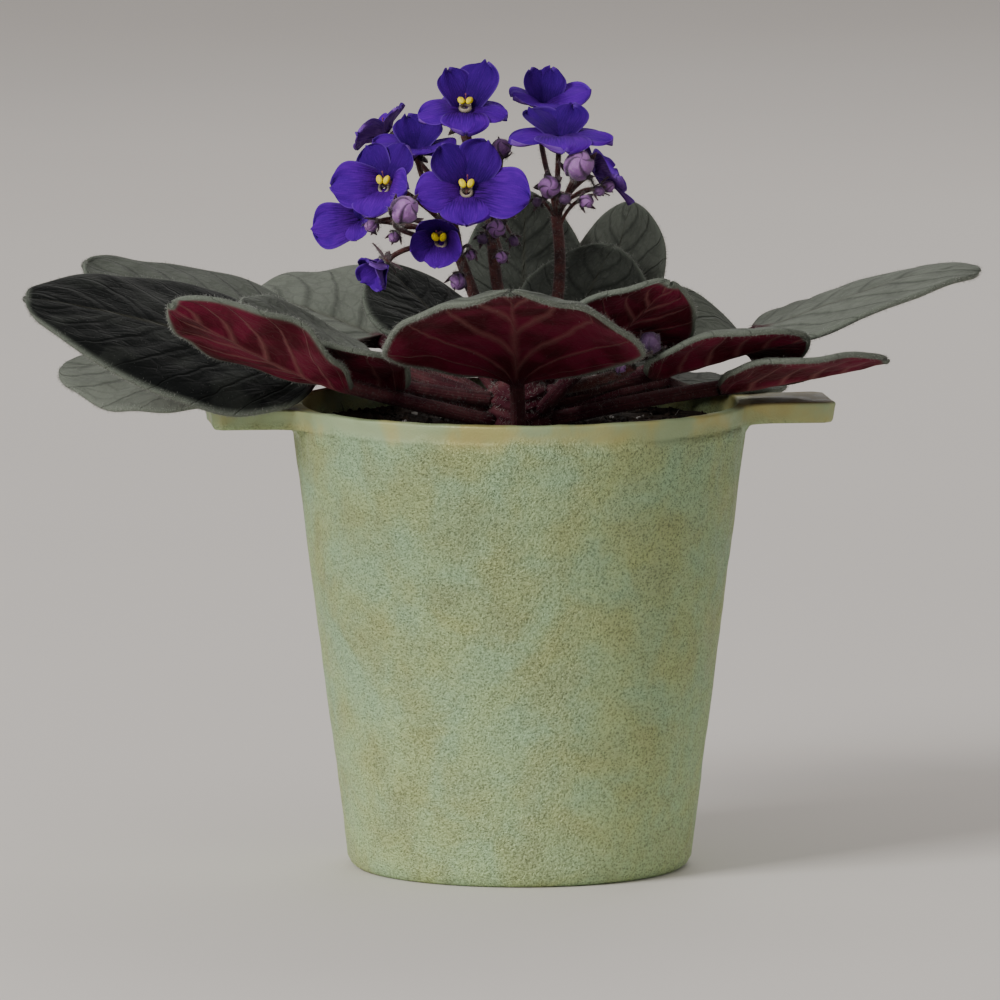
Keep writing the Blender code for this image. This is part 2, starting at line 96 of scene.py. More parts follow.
def ripple(points: Array, size: float, seed: int, waves: int = 14) -> Array:
    """Gentle random waves: sines along seeded directions, summed.

    Args:
        points: places in metres, on the last axis.
        size: usual length of a wave, in metres.
        seed: seed of the directions and phases.
        waves: how many sines are summed.

    Returns:
        Heights of about -1 to 1.
    """
    rng = np.random.default_rng(seed)
    pull = unit(rng.normal(size=(waves, 3))) * rng.uniform(0.6, 1.6, (waves, 1))
    phase = rng.uniform(0, 2 * np.pi, waves)
    return np.sin(points @ pull.T * (2 * np.pi / size) + phase).sum(-1) / math.sqrt(waves)


def bezier(points: Sequence[Array], steps: int) -> Array:
    """Points along a Bezier curve: the ends of ever shorter links, drawn together.

    Args:
        points: the curve's control points.
        steps: how many steps it is cut into.

    Returns:
        One more point than there are steps.
    """
    share = np.linspace(0, 1, steps + 1)[:, None]
    level = [np.broadcast_to(np.asarray(point, float), (steps + 1, 3)) for point in points]
    while len(level) > 1:
        level = [a + (b - a) * share for a, b in zip(level, level[1:])]
    return level[0]


def lattice(rows: int, columns: int) -> Array:
    """The quads of a grid of points that closes on itself along its columns.

    Args:
        rows: rows of points.
        columns: points in each row.

    Returns:
        Four indices for each quad.
    """
    index = np.arange(rows * columns).reshape(rows, columns)
    after = np.roll(index, -1, axis=1)
    return np.stack((index[:-1], after[:-1], after[1:], index[1:]), -1).reshape(-1, 4)


def tube_grid(path: Array, radii: Array, sides: int) -> Array:
    """A round skin along a path: a circle across each point, square to the course there.

    Args:
        path: points along the middle, in metres.
        radii: the radius at each point, in metres.
        sides: points round each circle.

    Returns:
        A grid of points, rows along the path and columns round it.
    """
    course = unit(np.gradient(path, axis=0))
    guide = np.eye(3)[np.argmin(np.abs(course).max(axis=0))]
    side = unit(np.cross(guide, course))
    up = np.cross(course, side)
    angle = np.linspace(0, 2 * np.pi, sides, endpoint=False)[None, :, None]
    ring = side[:, None] * np.cos(angle) + up[:, None] * np.sin(angle)
    return path[:, None] + ring * np.asarray(radii)[:, None, None]


def there_and_back(values: Array) -> Array:
    """Values across a sheet, read from left to right over it and back beneath it."""
    return np.concatenate((values[:, ::-1], values[:, 1:-1]), axis=1)


def sheet_grid(middle: Array, over: Array, beneath: Array) -> Array:
    """A closed skin round a thin sheet: its middle moved out along its own normal.

    Args:
        middle: points of the sheet, rows forward and columns from right to left.
        over: half thickness above each point, nothing at the two side margins.
        beneath: half thickness below each point, in the same way.

    Returns:
        A grid of points, with columns from the left margin over the top and back beneath.
    """
    normal = unit(np.cross(np.gradient(middle, axis=0), np.gradient(middle, axis=1)))
    top = middle + normal * over[..., None]
    under = middle - normal * beneath[..., None]
    return np.concatenate((top[:, ::-1], under[:, 1:-1]), axis=1)


def beneath_mask(rows: int, across: int) -> Array:
    """1 on the part of a sheet's skin that lies beneath, and 0 over it."""
    return np.tile(np.concatenate((np.zeros(across), np.ones(across - 2))), (rows, 1))


@dataclass
class Spots:
    """Places on a skin: where they are and which way is out."""

    place: Array
    out: Array


def scatter(grid: Array, weight: Array, count: int, rng: np.random.Generator) -> Spots:
    """Random spots on a skin, in proportion to the area and weight of its cells.

    Args:
        grid: the skin's points, rows along it and columns round it.
        weight: how thickly the spots fall at each point.
        count: how many spots.
        rng: source of chance.

    Returns:
        The spots.
    """
    after = np.roll(grid, -1, axis=1)
    across, along = after[:-1] - grid[:-1], grid[1:] - grid[:-1]
    normal = np.cross(across, along)
    chance = (np.linalg.norm(normal, axis=-1) * weight[:-1]).ravel()
    pick = rng.choice(chance.size, count, p=chance / chance.sum())
    cell = [part.reshape(-1, 3)[pick] for part in (grid[:-1], across, along, unit(normal))]
    share, rise = rng.random((2, count, 1))
    return Spots(cell[0] + cell[1] * share + cell[2] * rise, cell[3])


# ------------------------------------------------------------------ meshes

@dataclass
class Draft:
    """Closed shapes gathered into one mesh, with the values that its finishes read."""

    name: str
    points: list[Array] = field(default_factory=list)
    corners: list[Array] = field(default_factory=list)
    sizes: list[Array] = field(default_factory=list)
    slots: list[Array] = field(default_factory=list)
    values: list[dict[str, Array]] = field(default_factory=list)
    count: int = 0

    def add(self, points: Array, faces: Sequence[Array], slot: int = 0,
            **values: Array | float) -> None:
        """Add closed shapes, turned the right way out by the sign of their volume.

        Args:
            points: the points, three numbers each.
            faces: blocks of faces of one size each, as indices into the points.
            slot: place of the finish in the piece's list.
            values: a number at each point, or one for all, by name.
        """
        volume = 0.0
        spread = points - points.mean(axis=0)
        for block in faces:
            first, second, third, last = (spread[block[:, i]] for i in (0, 1, 2, -1))
            area = np.cross(third - first, last - second) if block.shape[1] == 4 else \
                np.cross(second - first, third - first)
            volume += float((area * (first + second + third + last)).sum())
        for block in faces:
            turned = block if volume > 0 else block[:, ::-1]
            self.corners.append((turned + self.count).ravel())
            self.sizes.append(np.full(len(block), block.shape[1]))
            self.slots.append(np.full(len(block), slot))
        self.points.append(points)
        self.values.append({key: np.broadcast_to(np.asarray(value, float).ravel(), (len(points),))
                            for key, value in values.items()})
        self.count += len(points)

    def loft(self, grid: Array, slot: int = 0, **values: Array | float) -> None:
        """Add a skin, with a pole in the middle of its first and last ring.

        Args:
            grid: points, rows along the skin and columns round it.
            slot: place of the finish in the piece's list.
            values: a number at each point of the grid, or one for all, by name.
        """
        rows, columns = grid.shape[:2]
        points = np.concatenate((grid.reshape(-1, 3), grid[[0, -1]].mean(axis=1)))
        ring = np.arange(columns)
        last = ring + (rows - 1) * columns
        pole = np.full(columns, rows * columns)
        caps = np.concatenate((np.stack((np.roll(ring, -1), ring, pole), -1),
                               np.stack((last, np.roll(last, -1), pole + 1), -1)))
        read = {}
        for key, value in values.items():
            full = np.broadcast_to(np.asarray(value, float), (rows, columns))
            read[key] = np.concatenate((full.ravel(), full[[0, -1]].mean(axis=1)))
        self.add(points, (lattice(rows, columns), caps), slot, **read)

    def copies(self, points: Array, faces: Sequence[Array], slot: int = 0,
               **values: Array | float) -> None:
        """Add many shapes that share their faces.

        Args:
            points: one block of points for each shape.
            faces: the faces of one shape.
            slot: place of the finish in the piece's list.
            values: a number for each shape, or one for all, by name.
        """
        count, each = points.shape[:2]
        shift = (np.arange(count) * each)[:, None, None]
        blocks = [(block[None] + shift).reshape(-1, block.shape[1]) for block in faces]
        read = {key: np.repeat(np.broadcast_to(np.asarray(value, float), (count,)), each)
                for key, value in values.items()}
        self.add(points.reshape(-1, 3), blocks, slot, **read)

    def build(self, finishes: Sequence[bpy.types.Material]) -> bpy.types.Object:
        """Make the piece, shaded smooth.

        Args:
            finishes: the materials, in the order of the faces' slots.

        Returns:
            The piece's object, at the origin.
        """
        mesh = bpy.data.meshes.new(self.name)
        corners, sizes = np.concatenate(self.corners), np.concatenate(self.sizes)
        mesh.vertices.add(self.count)
        mesh.vertices.foreach_set("co", np.concatenate(self.points).astype(np.float32).ravel())
        mesh.loops.add(len(corners))
        mesh.loops.foreach_set("vertex_index", corners.astype(np.int32))
        mesh.polygons.add(len(sizes))
        mesh.polygons.foreach_set("loop_start", (np.cumsum(sizes) - sizes).astype(np.int32))
        mesh.polygons.foreach_set("material_index", np.concatenate(self.slots).astype(np.int32))
        mesh.update(calc_edges=True)
        for key in sorted({key for block in self.values for key in block}):
            parts = [block.get(key, np.zeros(len(points)))
                     for block, points in zip(self.values, self.points)]
            layer = mesh.attributes.new(key, "FLOAT", "POINT")
            layer.data.foreach_set("value", np.concatenate(parts).astype(np.float32))
        for finish in finishes:
            mesh.materials.append(finish)
        mesh.shade_smooth()
        piece = bpy.data.objects.new(self.name, mesh)
        bpy.context.scene.collection.objects.link(piece)
        return piece


def settle(draft: Draft, finishes: Sequence[bpy.types.Material], slot: Slot,
           *nodes: str) -> None:
    """Build a draft's piece, let it ride on the plant, and let it stand for its CAD nodes.

    Args:
        draft: the piece's shapes.
        finishes: its materials.
        slot: the record's slot that its main finish comes from; not used.
        nodes: the CAD nodes that it stands for.
    """
    piece = draft.build(finishes)
    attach(piece, "root")
    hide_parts(*nodes)
    LOG.info("%s: %d faces, for %s", piece.name, len(piece.data.polygons), ", ".join(nodes))


@dataclass(frozen=True)
class Hairs:
    """Fine hairs: slender bent cones that stand on a skin."""

    length: tuple[float, float] = (0.8, 1.7)
    radius: float = 0.045
    lean: float = 0.35
    sink: float = 0.05

    FACES = (np.array(((0, 1, 4, 3), (1, 2, 5, 4), (2, 0, 3, 5))),
             np.array(((0, 2, 1), (3, 4, 6), (4, 5, 6), (5, 3, 6))))

    def grow(self, draft: Draft, spots: Spots, slot: int, rng: np.random.Generator,
             tone: float = 0.5) -> None:
        """Stand a hair on each spot: two triangles across its course, and a point.

        Args:
            draft: the mesh to add them to.
            spots: where they stand.
            slot: place of their finish.
            rng: source of chance.
            tone: how pale they are, from 0 to 1.
        """
        count = len(spots.place)
        course = unit(spots.out + self.lean * rng.normal(size=(count, 3)))
        across = unit(np.cross(course, rng.normal(size=(count, 3))))
        other = np.cross(course, across)
        length = rng.uniform(*self.length, (count, 1)) * MM
        bend = 0.22 * rng.normal(size=(count, 3)) * length
        angle = np.arange(3)[None, :, None] * (2 * np.pi / 3)
        ring = (across[:, None] * np.cos(angle) + other[:, None] * np.sin(angle)) * self.radius * MM
        root = spots.place - spots.out * self.sink * MM
        middle = root + course * length * 0.5 + bend * 0.25
        tip = root + course * length + bend
        points = np.concatenate((root[:, None] + ring, middle[:, None] + ring * 0.75,
                                 tip[:, None]), axis=1)
        draft.copies(points, self.FACES, slot, tone=tone * rng.uniform(0.5, 1.5, count))

    def cover(self, draft: Draft, grid: Array, count: float, slot: int,
              rng: np.random.Generator, tone: float) -> None:
        """Stand hairs evenly all over a skin.

        Args:
            draft: the mesh to add them to.
            grid: the skin's points.
            count: how many there are.
            slot: place of their finish.
            rng: source of chance.
            tone: how pale they are, from 0 to 1.
        """
        spots = scatter(grid, np.ones(grid.shape[:2]), int(count), rng)
        self.grow(draft, spots, slot, rng, tone)


# ------------------------------------------------------------------ finishes

class Sheet:
    """The nodes of one material or group, with short calls that add and join them."""

    def __init__(self, tree: bpy.types.NodeTree) -> None:
        """Work on a node tree."""
        self.tree = tree

    def feed(self, socket: bpy.types.NodeSocket, value: Value) -> None:
        """Link a socket to another, or set what it holds.

        Args:
            socket: the input.
            value: an output to link, a number, or a colour or vector of three numbers.
        """
        if isinstance(value, bpy.types.NodeSocket):
            self.tree.links.new(value, socket)
        elif isinstance(value, tuple) and socket.type == "RGBA":
            socket.default_value = (*value, 1.0)
        else:
            socket.default_value = value

    def node(self, kind: str, feeds: dict[str | int, Value] | None = None,
             **settings: object) -> bpy.types.Node:
        """Add a node.

        Args:
            kind: its type, without the words that all of them start with.
            feeds: what its inputs hold or are linked to.
            settings: its properties.

        Returns:
            The node.
        """
        made = self.tree.nodes.new("ShaderNode" + kind)
        for key, value in settings.items():
            setattr(made, key, value)
        for socket, value in (feeds or {}).items():
            self.feed(made.inputs[socket], value)
        return made

    def math(self, operation: str, first: Value, second: Value = 0.0,
             clamp: bool = False) -> bpy.types.NodeSocket:
        """One sum on two numbers."""
        return self.node("Math", {0: first, 1: second}, operation=operation,
                         use_clamp=clamp).outputs[0]

    def times(self, first: Value, second: Value) -> bpy.types.NodeSocket:
        """The product of two numbers."""
        return self.math("MULTIPLY", first, second)

    def plus(self, first: Value, second: Value, clamp: bool = False) -> bpy.types.NodeSocket:
        """The sum of two numbers."""
        return self.math("ADD", first, second, clamp)

    def minus(self, first: Value, second: Value, clamp: bool = False) -> bpy.types.NodeSocket:
        """The first number less the second."""
        return self.math("SUBTRACT", first, second, clamp)

    def mix(self, share: Value, first: Value, second: Value,
            way: str = "MIX") -> bpy.types.NodeSocket:
        """A colour between two others."""
        return self.node("Mix", {0: share, 6: first, 7: second}, data_type="RGBA",
                         blend_type=way).outputs[2]

    def span(self, value: Value, low: float, high: float, start: Value = 0.0,
             end: Value = 1.0) -> bpy.types.NodeSocket:
        """A value read smoothly from one range into another, and held at its ends.

        Args:
            value: the value.
            low: where the first range starts.
            high: where it ends.
            start: what the low end becomes.
            end: what the high end becomes.

        Returns:
            The value in the second range.
        """
        return self.node("MapRange", {"Value": value, "From Min": low, "From Max": high,
                                      "To Min": start, "To Max": end},
                         interpolation_type="SMOOTHSTEP").outputs[0]

    def noise(self, place: Value, scale: Value, detail: float = 2.0,
              warp: float = 0.0) -> bpy.types.NodeSocket:
        """Cloudy noise of about 0 to 1."""
        return self.node("TexNoise", {"Vector": place, "Scale": scale, "Detail": detail,
                                      "Distortion": warp}).outputs["Fac"]

    def cells(self, place: Value, scale: Value, feature: str = "F1") -> bpy.types.NodeSocket:
        """Distances in a pattern of cells."""
        return self.node("TexVoronoi", {"Vector": place, "Scale": scale},
                         feature=feature).outputs["Distance"]

    def value(self, name: str) -> bpy.types.NodeSocket:
        """A number that the mesh holds at each point."""
        return self.node("Attribute", attribute_name=name).outputs["Fac"]

    def place(self) -> bpy.types.NodeSocket:
        """Object coordinates."""
        return self.node("TexCoord").outputs["Object"]

    @staticmethod
    def hold(shader: bpy.types.Node, settings: dict[str, float | tuple]) -> None:
        """Set inputs of a shader that stay the same all over."""
        for name, value in settings.items():
            shader.inputs[name].default_value = value

    def vector(self, across: Value, along: Value, height: Value = 0.0) -> bpy.types.NodeSocket:
        """A vector of three numbers."""
        return self.node("CombineXYZ", {0: across, 1: along, 2: height}).outputs[0]

    def bump(self, height: Value, distance: float,
             normal: Value | None = None) -> bpy.types.NodeSocket:
        """A normal that follows a height.

        Args:
            height: the height, from 0 to 1.
            distance: its full rise, in metres.
            normal: the normal that it starts from, if not the mesh's own.

        Returns:
            The normal.
        """
        made = self.node("Bump", {"Height": height, "Distance": distance, "Strength": 1.0})
        if normal is not None:
            self.feed(made.inputs["Normal"], normal)
        return made.outputs["Normal"]

    def group(self, tree: bpy.types.NodeTree, **feeds: Value) -> bpy.types.Node:
        """Place a node group.

        Args:
            tree: the group.
            feeds: what its inputs hold or are linked to.

        Returns:
            Its node.
        """
        made = self.node("Group", node_tree=tree)
        for socket, value in feeds.items():
            self.feed(made.inputs[socket], value)
        return made


@dataclass
class Effects:
    """The shader groups that several finishes share."""

    mottle: bpy.types.NodeTree = field(init=False)
    veins: bpy.types.NodeTree = field(init=False)
    grain: bpy.types.NodeTree = field(init=False)

    def __post_init__(self) -> None:
        """Build every group."""
        self.mottle = self.build_mottle()
        self.veins = self.build_veins()
        self.grain = self.build_grain()

    @staticmethod
    def start(name: str, inputs: dict[str, str], outputs: Sequence[str]
              ) -> tuple[Sheet, bpy.types.Node, bpy.types.Node]:
        """Begin a group.

        Args:
            name: the group's name.
            inputs: its inputs and their kinds of socket.
            outputs: its outputs, which are all numbers.

        Returns:
            Its sheet of nodes, its input node and its output node.
        """
        tree = bpy.data.node_groups.new(name, "ShaderNodeTree")
        for socket, kind in inputs.items():
            tree.interface.new_socket(socket, in_out="INPUT", socket_type="NodeSocket" + kind)
        for socket in outputs:
            tree.interface.new_socket(socket, in_out="OUTPUT", socket_type="NodeSocketFloat")
        return Sheet(tree), tree.nodes.new("NodeGroupInput"), tree.nodes.new("NodeGroupOutput")

    def build_mottle(self) -> bpy.types.NodeTree:
        """Soft blotches: warped noise, stretched between its middle values.

        Returns:
            The group.
        """
        sheet, given, made = self.start("mottle", {"Place": "Vector", "Scale": "Float"}, ("Mask",))
        cloud = sheet.noise(given.outputs["Place"], given.outputs["Scale"], 3.0, 0.4)
        sheet.feed(made.inputs["Mask"], sheet.span(cloud, 0.36, 0.64))
        return sheet.tree

    def build_grain(self) -> bpy.types.NodeTree:
        """A wrinkled skin: warped noise over rounder cells.

        Returns:
            The group.
        """
        sheet, given, made = self.start("grain", {"Place": "Vector", "Scale": "Float"},
                                        ("Height",))
        place, scale = given.outputs["Place"], given.outputs["Scale"]
        wrinkle = sheet.noise(place, scale, 2.0, 1.2)
        pit = sheet.cells(place, sheet.times(scale, 0.8))
        sheet.feed(made.inputs["Height"],
                   sheet.plus(sheet.times(wrinkle, 0.7),
                              sheet.times(pit, 0.3)))
        return sheet.tree

    def build_veins(self) -> bpy.types.NodeTree:
        """The veins of a blade.

        Side veins lie where the index, a little wobbled, is a whole number. The midrib
        lies where the place across is nothing. Between them is a net of cell borders.

        Returns:
            The group.
        """
        kinds = {"Along": "Float", "Across": "Float", "Index": "Float", "Width": "Float"}
        sheet, given, made = self.start("veins", kinds, ("Rib", "Side", "Net"))
        along, across, index, width = (given.outputs[key] for key in kinds)
        out = sheet.math("ABSOLUTE", across)
        wobble = sheet.noise(sheet.vector(across, along), 5.0, 2.0)
        index = sheet.plus(index, sheet.times(wobble, 0.3))
        gap = sheet.math("ABSOLUTE", sheet.minus(sheet.math("FRACT", index), 0.5))
        thin = sheet.times(width, sheet.span(out, 0.0, 1.0, 1.6, 0.3))
        side = sheet.minus(1.0, sheet.math(
            "DIVIDE", sheet.minus(0.5, gap), thin), clamp=True)
        rib = sheet.minus(1.0, sheet.math(
            "DIVIDE", out, sheet.span(along, 0.0, 1.0, 0.075, 0.015)), clamp=True)
        net = sheet.cells(sheet.vector(sheet.times(across, 7.0),
                                       sheet.times(index, 2.0)), 1.0,
                          "DISTANCE_TO_EDGE")
        net = sheet.span(net, 0.0, 0.16, 1.0, 0.0)
        for key, result in (("Rib", rib), ("Side", side), ("Net", net)):
            sheet.feed(made.inputs[key], result)
        return sheet.tree


@dataclass(frozen=True)
class Finish:
    """A finish: a named material on a principled shader."""

    name: str = "finish"
    effects: Effects | None = None

    def dress(self, sheet: Sheet, shader: bpy.types.Node) -> None:
        """Feed the shader; each finish does this in its own way.

        Args:
            sheet: the material's nodes.
            shader: its principled shader.
        """
        raise NotImplementedError

    def make(self) -> bpy.types.Material:
        """Make the material.

        Returns:
            The material, with its nodes joined.
        """
        made = bpy.data.materials.new(self.name)
        made.use_nodes = True
        self.dress(Sheet(made.node_tree), made.node_tree.nodes["Principled BSDF"])
        return made


@dataclass(frozen=True)
class Verdigris(Finish):
    """Cast brass gone green: blotches of blue green and gold, a filed golden rim."""

    name: str = "verdigris_casting"
    green: Colour = (0.315, 0.420, 0.205)
    blue: Colour = (0.240, 0.410, 0.275)
    gold: Colour = (0.410, 0.375, 0.130)
    brown: Colour = (0.170, 0.155, 0.075)
    grain_scale: float = 1750.0
    grain_depth: float = 0.0012

    PATCHES = {"blue": 60.0, "gold": 52.0, "brown": 95.0, "fine": 160.0}

    def dress(self, sheet: Sheet, shader: bpy.types.Node) -> None:
        """Blend the patches by noise, and lay the cast grain below the filed rim.

        Args:
            sheet: the material's nodes.
            shader: its principled shader.
        """
        place = sheet.place()
        spread = {key: sheet.group(self.effects.mottle, Place=place, Scale=scale).outputs[0]
                  for key, scale in self.PATCHES.items()}
        colour = sheet.mix(sheet.times(spread["blue"], 0.45), self.green, self.blue)
        colour = sheet.mix(sheet.times(spread["gold"], 0.3), colour, self.gold)
        stain = sheet.times(sheet.times(spread["brown"], spread["gold"]), 0.2)
        colour = sheet.mix(stain, colour, self.brown)
        height = sheet.node("SeparateXYZ", {0: place}).outputs["Z"]
        edge = sheet.plus(height, sheet.times(sheet.noise(place, 70.0), 0.008))
        filed = sheet.span(edge, 0.1262, 0.1310)
        rim = sheet.mix(spread["fine"], self.gold, (0.42, 0.36, 0.13))
        rim = sheet.mix(sheet.times(spread["blue"], 0.6), rim, self.blue)
        colour = sheet.mix(sheet.times(filed, 0.8), colour, rim)
        top = sheet.value("level")
        dark = sheet.mix(spread["fine"], (0.105, 0.088, 0.050), (0.20, 0.17, 0.095))
        colour = sheet.mix(sheet.times(top, 0.85), colour, dark)
        grain = sheet.group(self.effects.grain, Place=place, Scale=self.grain_scale).outputs[0]
        # The grain's pits darken the casting. The second factor lightens it up to 1.3 times towards
        # the foot: painted light, standing in for the leaves' shade on the upper pot.
        pits_and_painted_light = sheet.times(sheet.span(grain, 0.33, 0.56, 0.62, 1.34),
                          sheet.span(height, 0.0, 0.11, 1.30, 1.0))
        shade = sheet.node("CombineColor", {0: pits_and_painted_light, 1: pits_and_painted_light, 2: pits_and_painted_light}).outputs[0]
        bare = sheet.minus(1.0, filed)
        colour = sheet.mix(bare, colour, sheet.mix(1.0, colour, shade, "MULTIPLY"))
        sheet.feed(shader.inputs["Base Color"], colour)
        sheet.feed(shader.inputs["Roughness"], sheet.span(spread["fine"], 0.0, 1.0, 0.46, 0.62))
        sheet.feed(shader.inputs["Metallic"], sheet.times(spread["gold"], 0.35))
        depth = sheet.times(grain, sheet.plus(sheet.times(bare, 0.88), 0.12))
        sheet.feed(shader.inputs["Normal"], sheet.bump(depth, self.grain_depth))
        sheet.hold(shader, {"Specular IOR Level": 0.5})


@dataclass(frozen=True)
class Earth(Finish):
    """Potting mix: dark crumbs, white grit where a crumb's tone is high."""

    name: str = "potting_mix"

    def dress(self, sheet: Sheet, shader: bpy.types.Node) -> None:
        """Blend by each crumb's tone and a fine noise.

        Args:
            sheet: the material's nodes.
            shader: its principled shader.
        """
        place = sheet.place()
        tone = sheet.value("tone")
        fine = sheet.noise(place, 700.0, 4.0)
        colour = sheet.mix(tone, (0.010, 0.007, 0.006), (0.055, 0.034, 0.022))
        colour = sheet.mix(sheet.span(fine, 0.5, 0.8), colour, (0.09, 0.062, 0.042))
        colour = sheet.mix(sheet.span(tone, 1.2, 1.4), colour, (0.62, 0.60, 0.56))
        sheet.feed(shader.inputs["Base Color"], colour)
        sheet.hold(shader, {"Roughness": 0.95})
        sheet.feed(shader.inputs["Normal"], sheet.bump(fine, 0.0006))


@dataclass(frozen=True)
class Velvet(Finish):
    """A hairy leaf: grey green over, wine red beneath with paler veins, a pale margin."""

    name: str = "leaf_velvet"
    # Over and over_pale are the ends of a leaf's tone, which holds painted light and shade as well
    # as its own green: near black for shaded leaves.
    over: Colour = (0.002, 0.003, 0.003)
    over_pale: Colour = (0.165, 0.185, 0.155)
    under: Colour = (0.052, 0.001, 0.007)
    under_bright: Colour = (0.125, 0.005, 0.026)
    vein: Colour = (0.190, 0.072, 0.070)
    margin: Colour = (0.150, 0.172, 0.142)
    stem: Colour = (0.046, 0.006, 0.014)
    stem_pale: Colour = (0.120, 0.040, 0.046)

    def dress(self, sheet: Sheet, shader: bpy.types.Node) -> None:
        """Blend the two faces, their veins, the margin and the stalk.

        Args:
            sheet: the material's nodes.
            shader: its principled shader.
        """
        place = sheet.place()
        along, across, under = (sheet.value(key) for key in ("along", "across", "under"))
        veins = sheet.group(self.effects.veins, Along=along, Across=across,
                            Index=sheet.value("index"), Width=0.12)
        rib, side, net = (veins.outputs[key] for key in ("Rib", "Side", "Net"))
        cloud = sheet.group(self.effects.mottle, Place=place, Scale=75.0).outputs[0]
        fine = sheet.noise(place, 900.0, 3.0)
        # How pale the upper face is: the leaf's tone, painted light and shade included, with a
        # little mottle.
        pale = sheet.plus(sheet.times(sheet.value("tone"), 0.8),
                          sheet.times(sheet.minus(cloud, 0.5), 0.12), clamp=True)
        top = sheet.mix(pale, self.over, self.over_pale)
        # The side veins and the net between them darken the upper face: painted shade in the sunken
        # veins, so that the puckers between them look lit.
        top = sheet.mix(sheet.times(net, 0.14), top, self.over)
        top = sheet.mix(sheet.times(side, 0.4), top, self.over)
        top = sheet.mix(sheet.times(rib, 0.4), top, (0.060, 0.058, 0.040))
        base = sheet.mix(cloud, self.under, self.under_bright)
        lines = sheet.math("MAXIMUM", sheet.times(side, 0.7),
                           sheet.times(net, 0.05))
        base = sheet.mix(sheet.math("MAXIMUM", lines, sheet.times(rib, 0.55)), base, self.vein)
        colour = sheet.mix(under, top, base)
        # The pale margin: partly the rolled upper face seen edge on, partly painted sheen where its
        # hairs catch the light.
        colour = sheet.mix(sheet.times(sheet.value("rim"), 0.9), colour, self.margin)
        stem = sheet.mix(cloud, self.stem, self.stem_pale)
        colour = sheet.mix(sheet.value("stem"), colour, stem)
        speck = sheet.times(sheet.span(fine, 0.5, 0.78, 0.0, 0.4), pale)
        speck = sheet.times(speck, sheet.minus(1.0, under))
        colour = sheet.mix(speck, colour, (0.18, 0.19, 0.17))
        sheet.feed(shader.inputs["Base Color"], colour)
        relief = sheet.times(sheet.math("MAXIMUM", side, sheet.times(net, 0.3)),
                            sheet.minus(sheet.times(under, 2.0), 1.0))
        normal = sheet.bump(relief, 0.0003)
        sheet.feed(shader.inputs["Normal"], sheet.bump(fine, 0.0002, normal=normal))
        sheet.hold(shader, {"Roughness": 0.72, "Specular IOR Level": 0.12, "Sheen Weight": 0.05,
                            "Sheen Roughness": 0.45, "Sheen Tint": (0.80, 0.84, 0.80, 1.0)})


@dataclass(frozen=True)
class Down(Finish):
    """Hairs: pale and slightly clear, from a dark to a pale tone."""

    name: str = "down"
    dark: Colour = (0.012, 0.009, 0.010)
    pale: Colour = (0.50, 0.52, 0.47)

    def dress(self, sheet: Sheet, shader: bpy.types.Node) -> None:
        """Blend by each hair's tone, a little uneven along it.

        Args:
            sheet: the material's nodes.
            shader: its principled shader.
        """
        cloud = sheet.noise(sheet.place(), 300.0)
        share = sheet.math("MULTIPLY", sheet.value("tone"), sheet.plus(cloud, 0.5), clamp=True)
        sheet.feed(shader.inputs["Base Color"], sheet.mix(share, self.dark, self.pale))
        sheet.hold(shader, {"Roughness": 0.5, "Sheen Weight": 0.2})


@dataclass(frozen=True)
class Petal(Finish):
    """A violet petal: deep near the throat, streaked, paler at its margin and behind."""

    name: str = "petal"
    deep: Colour = (0.010, 0.0, 0.050)
    main: Colour = (0.062, 0.0, 0.280)
    bright: Colour = (0.150, 0.004, 0.500)
    dusk: Colour = (0.012, 0.0, 0.085)
    back: Colour = (0.200, 0.060, 0.440)
    edge: Colour = (0.200, 0.080, 0.560)

    def dress(self, sheet: Sheet, shader: bpy.types.Node) -> None:
        """Blend along the petal, with streaks that fan out from the throat.

        Args:
            sheet: the material's nodes.
            shader: its principled shader.
        """
        place = sheet.place()
        along, across, under, rim = (sheet.value(key)
                                     for key in ("along", "across", "under", "rim"))
        fan = sheet.vector(sheet.times(across, 9.0), sheet.times(along, 1.6))
        streak = sheet.noise(fan, 2.0, 3.0)
        cloud = sheet.group(self.effects.mottle, Place=place, Scale=130.0).outputs[0]
        fine = sheet.noise(place, 2400.0, 2.0)
        colour = sheet.mix(sheet.span(along, 0.12, 0.70), self.deep, self.main)
        colour = sheet.mix(sheet.times(sheet.span(streak, 0.42, 0.72), 0.45), colour, self.bright)
        colour = sheet.mix(sheet.times(cloud, 0.25), colour, self.bright)
        # The two upper lobes are darkened with painted shade, where they lean forward out of the
        # light.
        colour = sheet.mix(sheet.times(sheet.value("dusk"), 0.6), colour, self.dusk)
        back = sheet.mix(sheet.span(streak, 0.35, 0.7), self.back, (0.36, 0.19, 0.60))
        back = sheet.mix(sheet.times(cloud, 0.5), back, (0.085, 0.020, 0.25))
        colour = sheet.mix(sheet.times(under, 0.85), colour, back)
        colour = sheet.mix(sheet.times(rim, 0.5), colour, self.edge)
        # Pale violet flecks from the fine noise: painted sparkle, glints of light on the velvety
        # petal.
        colour = sheet.mix(sheet.span(fine, 0.62, 0.78, 0.0, 0.12), colour, (0.22, 0.08, 0.75))
        sheet.feed(shader.inputs["Base Color"], colour)
        height = sheet.plus(sheet.times(streak, 0.6), sheet.times(fine, 0.4))
        sheet.feed(shader.inputs["Normal"], sheet.bump(height, 0.0004))
        sheet.hold(shader, {"Roughness": 0.7, "Specular IOR Level": 0.06, "Sheen Weight": 0.03,
                            "Sheen Roughness": 0.4, "Sheen Tint": (0.40, 0.20, 1.0, 1.0)})


